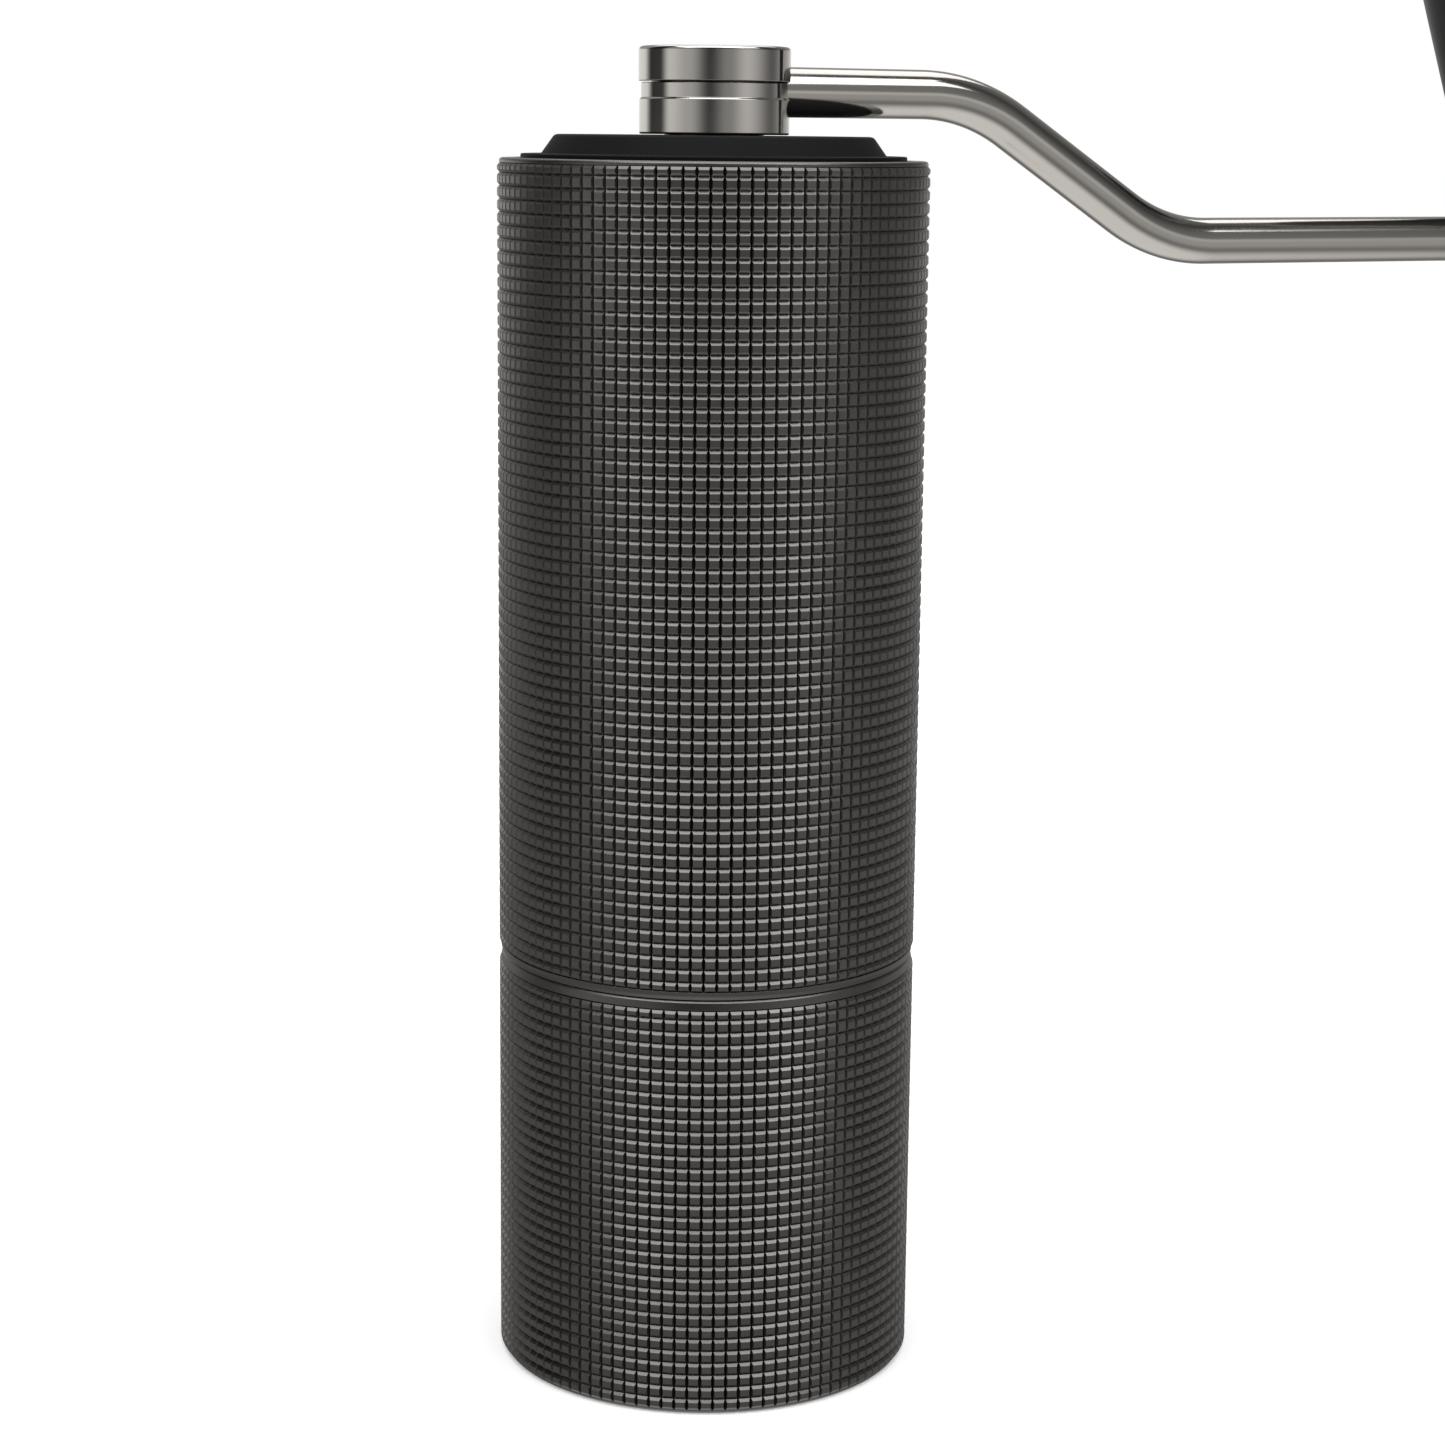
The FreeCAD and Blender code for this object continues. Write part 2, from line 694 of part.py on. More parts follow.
def make_bearing(name, bottom):
    """A shielded ball bearing: outer ring, inner ring, balls and a pair of shields."""
    top = f"{bottom} + race_height"
    middle = f"{bottom} + race_height / 2"
    track_r = "(bearing_bore + bearing_d) / 4"
    groove_r = "ball_d / 2 + ball_clearance"
    inner_edge = "bearing_bore / 2 + bearing_ring_wall"
    outer_edge = "bearing_d / 2 - bearing_ring_wall"
    groove = f"sqrt(({groove_r}) ^ 2 - ({track_r} - ({inner_edge})) ^ 2)"
    node(turned(f"{name}_outer", [
        (outer_edge, bottom),
        ("bearing_d / 2", bottom),
        ("bearing_d / 2", top),
        (outer_edge, top),
        (outer_edge, f"{middle} + {groove}"),
        (outer_edge, f"{middle} - {groove}", f"-({groove_r})"),
    ]))
    node(turned(f"{name}_inner", [
        ("bearing_bore / 2", bottom),
        (inner_edge, bottom),
        (inner_edge, f"{middle} - {groove}"),
        (inner_edge, f"{middle} + {groove}", f"-({groove_r})"),
        (inner_edge, top),
        ("bearing_bore / 2", top),
    ]))
    balls = []
    for index in range(BALLS):
        x, y = on_circle(track_r, index, BALLS)
        ball = primitive("Part::Sphere", f"{name}_ball_{index + 1}", {"Radius": "ball_d / 2"}, (x, y, middle))
        balls.append(ball)
    node(grouped(f"{name}_balls", balls))
    shields = []
    lower = f"{bottom} + shield_inset"
    upper = f"{top} - shield_inset - shield_thickness"
    for index, level in enumerate((lower, upper), start=1):
        inner = f"{inner_edge} + shield_clearance"
        shield = tube(f"{name}_shield_{index}", inner, outer_edge, level, f"{level} + shield_thickness")
        shields.append(shield)
    node(grouped(f"{name}_shields", shields))


def make_drive_shaft():
    """The shaft: hexagon for the crank, two bearing seats, flats for the burr and a thread for the dial."""
    core_r = "shaft_core_d / 2"
    shoulder_r = "journal_r + shaft_shoulder"
    hex_bottom = "shaft_top - shaft_hex_length"
    bar = turned("shaft_bar", [
        ("0", "shaft_bottom"),
        (core_r, "shaft_bottom"),
        (core_r, "plate_bottom"),
        ("shaft_end_d / 2", "plate_bottom"),
        ("shaft_end_d / 2", "lower_bearing"),
        ("journal_r", "lower_bearing"),
        ("journal_r", "lower_bearing + race_height"),
        (shoulder_r, "lower_bearing + race_height"),
        (shoulder_r, "upper_bearing"),
        ("journal_r", "upper_bearing"),
        ("journal_r", hex_bottom),
        ("0", hex_bottom),
    ])
    head = hexagon("shaft_hexagon", "shaft_hex", f"{hex_bottom} - race_height", "shaft_top")
    sizes = {
        "Length": "shaft_end_d",
        "Width": "shaft_end_d",
        "Height": "lower_bearing - spring_washer - plate_bottom",
    }
    flats = []
    for index, y in enumerate(("shaft_flats / 2", "-shaft_flats / 2 - shaft_end_d"), start=1):
        spot = ("-shaft_end_d / 2", y, "plate_bottom")
        flats.append(primitive("Part::Box", f"shaft_flat_{index}", sizes, spot))
    shaft = continued("drive_shaft", cut("shaft_blank", fused("shaft_bars", [bar, head]), flats))
    start = "shaft_thread_start"
    node(threaded(shaft, [
        (f"{core_r} - thread_sink", f"{start} - dial_thread_root / 2"),
        (f"{core_r} + dial_thread_depth", f"{start} - dial_thread_crest / 2"),
        (f"{core_r} + dial_thread_depth", f"{start} + dial_thread_crest / 2"),
        (f"{core_r} - thread_sink", f"{start} + dial_thread_root / 2"),
    ], "dial_pitch", "shaft_thread_turns"))


def make_burr_spring():
    """The spring that pushes the inner burr down, and the washer between it and the lower bearing."""
    washer_bottom = "lower_bearing - spring_washer"
    inner = "shaft_end_d / 2 + key_fit"
    node(tube("spring_washer", inner, "spring_washer_d / 2", washer_bottom, "lower_bearing"))
    room = f"({washer_bottom} - burr_top)"
    node(coil("burr_spring", "spring_d", "spring_wire", "burr_top", room, "spring_turns"))


def make_inner_burr():
    """The inner burr: fine teeth below, wide flutes above, on the two flats of the shaft."""
    slope = value("(ring_throat_wall - ring_rim_wall) / ring_burr_height")
    bottom, top = value("burr_bottom"), value("burr_top")
    middle = bottom + value("fine_zone_height")
    level = value("collar_bottom")
    crest = value("ring_r - ring_rim_wall - burr_clearance")
    low_r = crest - slope * (bottom - level)
    mid_r = crest - slope * (middle - level)
    fine, flute, nose = value("fine_tooth_depth"), value("flute_depth"), value("nose_d / 2")
    teeth = Part.makeLoft([
        tooth_ring(FINE_TEETH, low_r, low_r - fine, bottom, 0),
        tooth_ring(FINE_TEETH, mid_r, mid_r - fine, middle, FINE_TWIST),
    ], True, True)
    sections = []
    for step in range(FLUTE_SECTIONS):
        share = step / (FLUTE_SECTIONS - 1)
        tip = mid_r - fine + (nose - mid_r + fine) * share
        height = middle + (top - middle) * share
        depth = flute * (1 - share / 2)
        sections.append(tooth_ring(FLUTES, tip, tip - depth, height, FLUTE_TWIST * share))
    cone = Part.makeLoft(sections, True, True)
    blank = shaped("inner_burr_blank", teeth.fuse(cone).removeSplitter())
    hole = double_flat("inner_burr_hole", "shaft_end_d + 2 * key_fit", "shaft_flats + 2 * key_fit",
                       "burr_bottom", "burr_top")
    node(cut("inner_burr", blank, [hole]))


def make_click_plate():
    """The steel washer under the burr, with a ring of holes that the dial's balls click in."""
    blank = cylinder("plate_blank", "plate_d / 2", "plate_bottom", "burr_bottom")
    tools = [double_flat("plate_hole", "shaft_end_d + 2 * key_fit", "shaft_flats + 2 * key_fit",
                         "plate_bottom", "burr_bottom")]
    for index in range(PLATE_HOLES):
        x, y = on_circle("detent_circle_d / 2", index, PLATE_HOLES)
        name = f"plate_click_{index + 1}"
        tools.append(cylinder(name, "plate_hole_d / 2", "plate_bottom", "burr_bottom", x, y))
    node(cut("click_plate", blank, tools))


def make_dial():
    """The grind dial with its scalloped grip, brass nut, click balls and their springs."""
    radius = "dial_d / 2"
    blank = turned("dial_blank", [
        ("dial_bore_r", "dial_bottom"),
        (f"{radius} - dial_edge", "dial_bottom"),
        (radius, "dial_bottom + dial_edge"),
        (radius, "dial_top"),
        ("dial_bore_r", "dial_top"),
    ])
    tools = [hexagon("dial_nut_pocket", "nut_hex + 2 * nut_fit", "nut_bottom", "dial_top")]
    for index in range(DIAL_GRIPS):
        x, y = on_circle(radius, index, DIAL_GRIPS, GRIP_START)
        tools.append(cylinder(f"dial_grip_{index + 1}", "dial_grip_d / 2", "dial_bottom", "dial_top", x, y))
    ball_z = "dial_top - detent_ball_d / 2"
    spring_top = "dial_top - detent_ball_d"
    pocket_bottom = f"{spring_top} - detent_spring_length"
    balls, springs = [], []
    for index in range(DETENTS):
        x, y = on_circle("detent_circle_d / 2", index, DETENTS)
        pocket_r = "detent_ball_d / 2 + detent_fit"
        tools.append(cylinder(f"dial_pocket_{index + 1}", pocket_r, pocket_bottom, "dial_top", x, y))
        ball_size = {"Radius": "detent_ball_d / 2"}
        balls.append(primitive("Part::Sphere", f"detent_ball_{index + 1}", ball_size, (x, y, ball_z)))
        mean_d = "(detent_ball_d - detent_wire - detent_fit)"
        spring = coil(f"detent_spring_{index + 1}", mean_d, "detent_wire", f"({pocket_bottom})",
                      "detent_spring_length", "detent_spring_turns")
        spring.setExpression("Placement.Base.x", formula(x))
        springs.append(spring)
    node(cut("adjust_dial", blank, tools))
    node(grouped("detent_balls", balls))
    node(grouped("detent_springs", springs))


def make_dial_nut():
    """The brass nut in the dial, with an inner thread half a pitch away from the shaft's ridge."""
    outside = hexagon("nut_outside", "nut_hex", "nut_bottom", "dial_top")
    bore = cylinder("nut_bore", "dial_bore_r", "nut_bottom", "dial_top")
    nut = continued("dial_nut", cut("nut_blank", outside, [bore]))
    start = "shaft_thread_start - dial_pitch / 2"
    node(threaded(nut, [
        ("dial_bore_r + thread_sink", f"{start} + dial_thread_root / 2"),
        ("dial_bore_r - dial_thread_depth", f"{start} + dial_thread_crest / 2"),
        ("dial_bore_r - dial_thread_depth", f"{start} - dial_thread_crest / 2"),
        ("dial_bore_r + thread_sink", f"{start} - dial_thread_root / 2"),
    ], "dial_pitch", "nut_thread_turns"))


def make_lid():
    """The plastic lid: a plug in the hopper's mouth, a thin flange and a bevelled top."""
    bevel_r = "flange_r - lid_flange_width"
    lid = turned("lid", [
        ("stem_bore_r", "lid_boss_bottom"),
        ("stem_bore_r + lid_boss_wall", "lid_boss_bottom"),
        ("stem_bore_r + lid_boss_wall", "lid_under"),
        ("skirt_r - lid_skirt_wall", "lid_under"),
        ("skirt_r - lid_skirt_wall", "liner_top - lid_skirt_depth"),
        ("skirt_r", "liner_top - lid_skirt_depth"),
        ("skirt_r", "liner_top"),
        ("flange_r", "liner_top"),
        ("flange_r", "flange_top"),
        (bevel_r, "flange_top"),
        (f"{bevel_r} - lid_bevel_run", "lid_top"),
        ("stem_bore_r", "lid_top"),
    ])
    rounded(lid, (f"{bevel_r} - lid_bevel_run", "lid_top"), "lid_round")
    node(lid)


def rod_tool(label):
    """The bore that the rod sits in, through the hub and the cap."""
    sizes = {"Radius": "rod_d / 2 + rod_fit", "Height": "rod_tail + rod_fit + cap_d"}
    spot = ("-rod_tail - rod_fit", "0", "rod_z")
    return primitive("Part::Cylinder", label, sizes, spot, FreeCAD.Vector(0, 1, 0), 90)


def make_crank_hub():
    """The hub: a band with a shallow neck above, and a stem with a hexagon socket through the lid."""
    neck_r = "hub_d / 2 - hub_neck_depth"
    stem_r = "stem_d / 2"
    groove_r = f"{stem_r} - circlip_groove"
    groove_bottom = "clip_bottom - circlip_play"
    groove_top = "clip_top + circlip_play"
    blank = turned("hub_blank", [
        ("0", "stem_bottom"),
        (stem_r, "stem_bottom"),
        (stem_r, groove_bottom),
        (groove_r, groove_bottom),
        (groove_r, groove_top),
        (stem_r, groove_top),
        (stem_r, "hub_bottom"),
        ("hub_d / 2", "hub_bottom"),
        ("hub_d / 2", "hub_bottom + hub_band"),
        (neck_r, "hub_bottom + hub_band + hub_neck_depth"),
        (neck_r, "hub_top"),
        ("hub_seat_d / 2", "hub_top"),
        ("hub_seat_d / 2", "cap_bottom"),
        ("0", "cap_bottom"),
    ])
    socket = hexagon("hub_socket", "shaft_hex + 2 * socket_fit", "stem_bottom", "socket_top")
    node(cut("crank_hub", blank, [socket, rod_tool("hub_rod_bore")]))


def make_crank_cap():
    """The disc on top of the hub, with its half of the rod's bore."""
    blank = turned("cap_blank", [
        ("0", "cap_bottom"),
        ("cap_d / 2", "cap_bottom"),
        ("cap_d / 2", "cap_bottom + cap_height"),
        ("0", "cap_bottom + cap_height"),
    ])
    rounded(blank, ("cap_d / 2", "cap_bottom + cap_height"), "cap_round")
    node(cut("crank_cap", blank, [rod_tool("cap_rod_bore")]))


def make_lid_clip():
    """The washer and the open retaining ring that hold the hub's stem in the lid."""
    stem_r = "stem_d / 2"
    bottom = "washer_top - lid_washer"
    node(tube("lid_washer", f"{stem_r} + washer_fit", "lid_washer_d / 2", bottom, "washer_top"))
    inner = f"{stem_r} - circlip_groove + circlip_play"
    ring = tube("circlip_ring", inner, "circlip_d / 2", "clip_bottom", "clip_top")
    sizes = {"Length": "circlip_d", "Width": "circlip_mouth", "Height": "circlip_thickness"}
    mouth = primitive("Part::Box", "circlip_opening", sizes, ("0", "-circlip_mouth / 2", "clip_bottom"))
    node(cut("hub_circlip", ring, [mouth]))


def make_crank_arm():
    """The rod: a level run from the hub, a double bend down past the barrel, and an eye for the knob."""
    body = doc.addObject("PartDesign::Body", "arm_rod")
    low_x = "bend_x + bend_run"
    drop_x = "bend_tangent * cos(bend_angle)"
    drop_z = "bend_tangent * sin(bend_angle)"
    path = draw(body, "arm_path", [
        ("-rod_tail", "rod_z"),
        ("bend_x - bend_tangent", "rod_z"),
        (f"bend_x + {drop_x}", f"rod_z - {drop_z}", "-bend_radius"),
        (f"{low_x} - {drop_x}", f"low_z + {drop_z}"),
        (f"{low_x} + bend_tangent", "low_z", "bend_radius"),
        ("arm_reach", "low_z"),
    ], closed=False)
    section = body.newObject("Sketcher::SketchObject", "arm_section")
    section.AttachmentSupport = [(origin_plane(body, "YZ_Plane"), "")]
    section.MapMode = "FlatFace"
    section.setExpression("AttachmentOffset.Base.z", formula("-rod_tail"))
    centre = FreeCAD.Vector(0, value("rod_z"), 0)
    section.addGeometry(Part.Circle(centre, FreeCAD.Vector(0, 0, 1), value("rod_d / 2")), False)
    pin_point(section, 0, 3, ("0", "rod_z"))
    place = section.addConstraint(Sketcher.Constraint("Radius", 0, value("rod_d / 2")))
    section.setExpression(f"Constraints[{place}]", formula("rod_d / 2"))
    doc.recompute()
    pipe = body.newObject("PartDesign::AdditivePipe", "arm_pipe")
    pipe.Profile = section
    pipe.Spine = path
    doc.recompute()
    eye = cylinder("arm_eye", "eye_d / 2", "eye_bottom", "eye_top", "arm_reach")
    hole = cylinder("arm_eye_hole", "axle_tail_d / 2", "eye_bottom", "eye_top", "arm_reach")
    node(cut("crank_arm", fused("arm_blank", [body, eye]), [hole]))


def at_knob(piece):
    """Move a piece turned about Z out to the knob's axis."""
    piece.setExpression("Placement.Base.x", formula("arm_reach"))
    return node(piece)


def make_knob():
    """The tapered knob with its bush and top plug, on an axle riveted into the arm's eye."""
    tail_r, axle_r = "axle_tail_d / 2", "axle_d / 2"
    at_knob(turned("knob_axle", [
        ("0", "eye_bottom - axle_rivet"),
        ("axle_rivet_d / 2", "eye_bottom - axle_rivet"),
        ("axle_rivet_d / 2", "eye_bottom"),
        (tail_r, "eye_bottom"),
        (tail_r, "eye_top"),
        (axle_r, "eye_top"),
        (axle_r, "axle_head_bottom"),
        ("axle_head_d / 2", "axle_head_bottom"),
        ("axle_head_d / 2", "axle_head_top"),
        ("0", "axle_head_top"),
    ]))
    at_knob(tube("knob_bush", f"{axle_r} + axle_fit", "bush_r", "knob_bottom", "bush_top"))
    base_r = "knob_base_d / 2"
    head_r = "axle_head_d / 2 + knob_head_room"
    at_knob(turned("knob", [
        ("bush_r + bush_fit", "knob_bottom"),
        (f"{base_r} - knob_base_round", "knob_bottom"),
        (base_r, "knob_bottom + knob_base_round", "knob_base_round"),
        ("knob_shoulder_r", "knob_shoulder"),
        ("crown_r", "knob_top", "knob_crown_round"),
        ("plug_r + plug_fit", "knob_top"),
        ("plug_r + plug_fit", "plug_bottom"),
        (head_r, "plug_bottom"),
        (head_r, "bush_top"),
        ("bush_r + bush_fit", "bush_top"),
    ]))
    at_knob(turned("knob_plug", [
        ("0", "plug_bottom"),
        ("plug_r", "plug_bottom"),
        ("plug_r", "knob_top"),
        ("0", "knob_top"),
    ]))


def make_cup():
    """The catch cup with its inner thread half a pitch from the collar's ridge, and its gasket."""
    gasket_inner = "cup_bore_r + gasket_inset"
    gasket_outer = f"{gasket_inner} + gasket_width"
    lip_r = f"{gasket_outer} + gasket_fit"
    cup = turned("catch_cup", [
        ("0", "0"),
        ("barrel_r - base_round", "0"),
        ("barrel_r", "base_round", "base_round"),
        ("barrel_r", "joint_top - joint_bevel_height"),
        ("barrel_r - joint_bevel", "joint_top"),
        (lip_r, "joint_top"),
        (lip_r, "cup_height"),
        ("cup_bore_r", "cup_height"),
        ("cup_bore_r", "cup_floor + cup_corner"),
        ("cup_bore_r - cup_corner", "cup_floor", "-cup_corner"),
        ("0", "cup_floor"),
    ])
    start = "collar_bottom + thread_inset + thread_pitch / 2"
    threaded(cup, [
        ("cup_bore_r + thread_sink", f"{start} + thread_root / 2"),
        ("cup_bore_r - thread_depth", f"{start} + thread_crest / 2"),
        ("cup_bore_r - thread_depth", f"{start} - thread_crest / 2"),
        ("cup_bore_r + thread_sink", f"{start} - thread_root / 2"),
    ], "thread_pitch", "cup_thread_turns")
    node(cup)
    node(tube("cup_gasket", gasket_inner, gasket_outer, "cup_height", "barrel_bottom"))


make_body_shell()
make_hopper_liner()
make_burr_carrier()
make_lower_bridge()
make_ring_burr()
make_burr_screws()
make_bearing("upper_bearing", "upper_bearing")
make_bearing("lower_bearing", "lower_bearing")
make_drive_shaft()
make_burr_spring()
make_inner_burr()
make_click_plate()
make_dial()
make_dial_nut()
make_lid()
make_crank_hub()
make_crank_cap()
make_lid_clip()
make_crank_arm()
make_knob()
make_cup()
doc.recompute()

for item in doc.Objects:
    if "Invalid" in item.State or "Error" in item.State:
        raise RuntimeError(f"{item.Label} failed: {item.State}")
for piece in nodes:
    if piece.Shape.isNull() or not piece.Shape.isValid():
        raise RuntimeError(f"{piece.Label} has no valid shape")

os.makedirs("parts", exist_ok=True)
for piece in nodes:
    piece.Shape.exportStep(f"parts/{piece.Label}.step")
    print(f"{piece.Label}: {len(piece.Shape.Solids)} solids, {piece.Shape.Volume:.1f} mm3")
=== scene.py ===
"""Looks of a slim hand crank coffee grinder, modelled piece by piece around its CAD frame.

Sizes in the classes are millimetres, Blender's own are metres. +Z is up, the origin is the centre of
the cup's base, and the crank arm points along +X.
"""
import json
import logging
import math
from dataclasses import dataclass, field
from enum import Enum

import bpy
from mathutils import Matrix, Vector

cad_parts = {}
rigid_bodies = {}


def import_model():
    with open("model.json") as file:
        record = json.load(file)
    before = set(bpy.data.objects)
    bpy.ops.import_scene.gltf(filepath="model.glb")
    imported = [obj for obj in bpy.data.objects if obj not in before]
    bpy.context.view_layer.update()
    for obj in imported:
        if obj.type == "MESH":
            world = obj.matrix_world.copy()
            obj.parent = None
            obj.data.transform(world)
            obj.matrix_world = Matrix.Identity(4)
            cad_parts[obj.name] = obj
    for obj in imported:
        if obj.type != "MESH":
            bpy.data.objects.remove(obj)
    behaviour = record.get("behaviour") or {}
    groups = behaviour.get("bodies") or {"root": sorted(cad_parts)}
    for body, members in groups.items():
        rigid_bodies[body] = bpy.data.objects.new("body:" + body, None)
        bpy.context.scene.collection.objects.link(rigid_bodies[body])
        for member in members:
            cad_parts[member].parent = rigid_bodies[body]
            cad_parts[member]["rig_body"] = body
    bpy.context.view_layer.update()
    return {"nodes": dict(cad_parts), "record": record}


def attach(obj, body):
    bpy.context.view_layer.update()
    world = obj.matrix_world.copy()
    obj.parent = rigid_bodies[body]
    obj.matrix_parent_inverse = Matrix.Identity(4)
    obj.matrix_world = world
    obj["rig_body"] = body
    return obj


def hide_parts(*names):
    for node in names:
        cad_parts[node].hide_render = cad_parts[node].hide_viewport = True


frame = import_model()

log = logging.getLogger("coffee_grinder")

MM = 0.001
MERGE = 0.002 * MM
SMOOTH_ANGLE = math.radians(30.0)
FINE_TURN = 160

Colour = tuple[float, float, float]
Span = tuple[float, float]


class Joining(Enum):
    """How a tool piece is combined with a work piece."""

    ADD = "UNION"
    CUT = "DIFFERENCE"


class Bench:
    """Modelling steps that every piece shares, each one a short run of operators."""

    @staticmethod
    def clear() -> None:
        """Leave edit mode and deselect everything."""
        if bpy.context.mode != "OBJECT":
            bpy.ops.object.mode_set(mode="OBJECT")
        bpy.ops.object.select_all(action="DESELECT")

    @staticmethod
    def take(piece: bpy.types.Object) -> None:
        """Make one piece the only selected and the active object."""
        Bench.clear()
        piece.select_set(True)
        bpy.context.view_layer.objects.active = piece

    @staticmethod
    def edit(piece: bpy.types.Object) -> None:
        """Open a piece in edit mode with all of it selected."""
        Bench.take(piece)
        bpy.ops.object.mode_set(mode="EDIT")
        bpy.ops.mesh.select_all(action="SELECT")

    @staticmethod
    def settle(name: str) -> bpy.types.Object:
        """Name the piece just added and move its place into its mesh.

        Args:
            name: the piece's name.

        Returns:
            The piece, at the origin, unturned and unscaled.
        """
        piece = bpy.context.object
        piece.name = name
        bpy.ops.object.transform_apply(location=True, rotation=True, scale=True)
        return piece

    @staticmethod
    def seal(piece: bpy.types.Object) -> None:
        """Merge doubled points and turn every face outwards."""
        Bench.edit(piece)
        bpy.ops.mesh.remove_doubles(threshold=MERGE)
        bpy.ops.mesh.normals_make_consistent(inside=False)
        Bench.clear()

    @staticmethod
    def join(name: str, parts: list[bpy.types.Object]) -> bpy.types.Object:
        """Join parts that share their edge points into one sealed piece.

        Args:
            name: the name of the joined piece.
            parts: the parts, used up by the joining.

        Returns:
            The joined piece.
        """
        Bench.clear()
        for part in parts:
            part.select_set(True)
        bpy.context.view_layer.objects.active = parts[0]
        bpy.ops.object.join()
        parts[0].name = name
        Bench.seal(parts[0])
        return parts[0]

    @staticmethod
    def combine(piece: bpy.types.Object, tool: bpy.types.Object, how: Joining) -> None:
        """Add a tool to a piece or cut it out.

        Args:
            piece: the work piece, changed in place.
            tool: the tool, used up.
            how: whether to add or to cut.
        """
        Bench.take(piece)
        step = piece.modifiers.new("combine", "BOOLEAN")
        step.operation = how.value
        step.solver = "EXACT"
        step.object = tool
        bpy.ops.object.modifier_apply(modifier=step.name)
        bpy.data.objects.remove(tool)

    @staticmethod
    def smooth(piece: bpy.types.Object) -> None:
        """Shade a piece smooth but for its sharp edges, with its large faces kept flat."""
        Bench.take(piece)
        bpy.ops.object.shade_smooth_by_angle(angle=SMOOTH_ANGLE)
        step = piece.modifiers.new("even_shading", "WEIGHTED_NORMAL")
        step.keep_sharp = True
        bpy.ops.object.modifier_apply(modifier=step.name)


@dataclass
class Corner:
    """One corner of a turned outline: distance from the axis, height and rounding."""

    radius: float
    height: float
    rounding: float = 0.0

    @property
    def spot(self) -> Vector:
        """The corner in the plane of the outline."""
        return Vector((self.radius, self.height))


@dataclass
class Lathe:
    """An outline drawn corner by corner beside an upright axis, and spun about it."""

    name: str
    corners: list[Corner]
    steps: int = 128
    axis_x: float = 0.0
    closed: bool = True
    arc_step: float = 11.0

    def outline(self) -> bpy.types.Object:
        """Draw the outline as a run of edges.

        Returns:
            The wire piece, still in edit mode.
        """
        Bench.clear()
        bpy.ops.mesh.primitive_plane_add(size=MM)
        piece = bpy.context.object
        piece.name = self.name
        bpy.ops.object.mode_set(mode="EDIT")
        bpy.ops.mesh.select_all(action="SELECT")
        bpy.ops.mesh.merge(type="CENTER")
        first = self.corners[0].spot
        bpy.ops.transform.translate(value=self._place(first))
        here = first
        for index in range(1, len(self.corners)):
            here = self._corner(here, index)
        if self.closed:
            self._line(here, first)
            bpy.ops.mesh.select_all(action="SELECT")
            bpy.ops.mesh.remove_doubles(threshold=MERGE)
        return piece

    def turn(self) -> bpy.types.Object:
        """Spin the outline a full turn.

        Returns:
            The sealed turned piece.
        """
        piece = self.outline()
        bpy.ops.mesh.select_all(action="SELECT")
        centre = (self.axis_x * MM, 0.0, 0.0)
        bpy.ops.mesh.spin(steps=self.steps, angle=math.tau, center=centre, axis=(0.0, 0.0, 1.0))
        Bench.seal(piece)
        return piece

    def _place(self, spot: Vector) -> tuple[float, float, float]:
        """The point of the frame, in metres, for a spot of the outline."""
        return ((self.axis_x + spot.x) * MM, 0.0, spot.y * MM)

    def _line(self, here: Vector, there: Vector) -> None:
        """Extrude the last point of the outline along a straight line."""
        way = (there - here) * MM
        bpy.ops.mesh.extrude_region_move(TRANSFORM_OT_translate={"value": (way.x, 0.0, way.y)})

    def _corner(self, here: Vector, index: int) -> Vector:
        """Draw the line to a corner, and the arc round it where it is rounded.

        Args:
            here: the last point drawn.
            index: the corner's place in the outline.

        Returns:
            The new last point.
        """
        corner = self.corners[index]
        spot = corner.spot
        if corner.rounding == 0.0:
            self._line(here, spot)
            return spot
        following = self.corners[(index + 1) % len(self.corners)].spot
        arriving = (spot - here).normalized()
        leaving = (following - spot).normalized()
        bend = math.atan2(arriving.cross(leaving), arriving.dot(leaving))
        tangent = corner.rounding * math.tan(abs(bend) / 2)
        start = spot - arriving * tangent
        left = Vector((-arriving.y, arriving.x))
        centre = start + left * math.copysign(corner.rounding, bend)
        self._line(here, start)
        steps = max(2, round(abs(math.degrees(bend)) / self.arc_step))
        bpy.ops.mesh.spin(steps=steps, angle=bend, center=self._place(centre), axis=(0.0, 1.0, 0.0))
        return spot + leaving * tangent


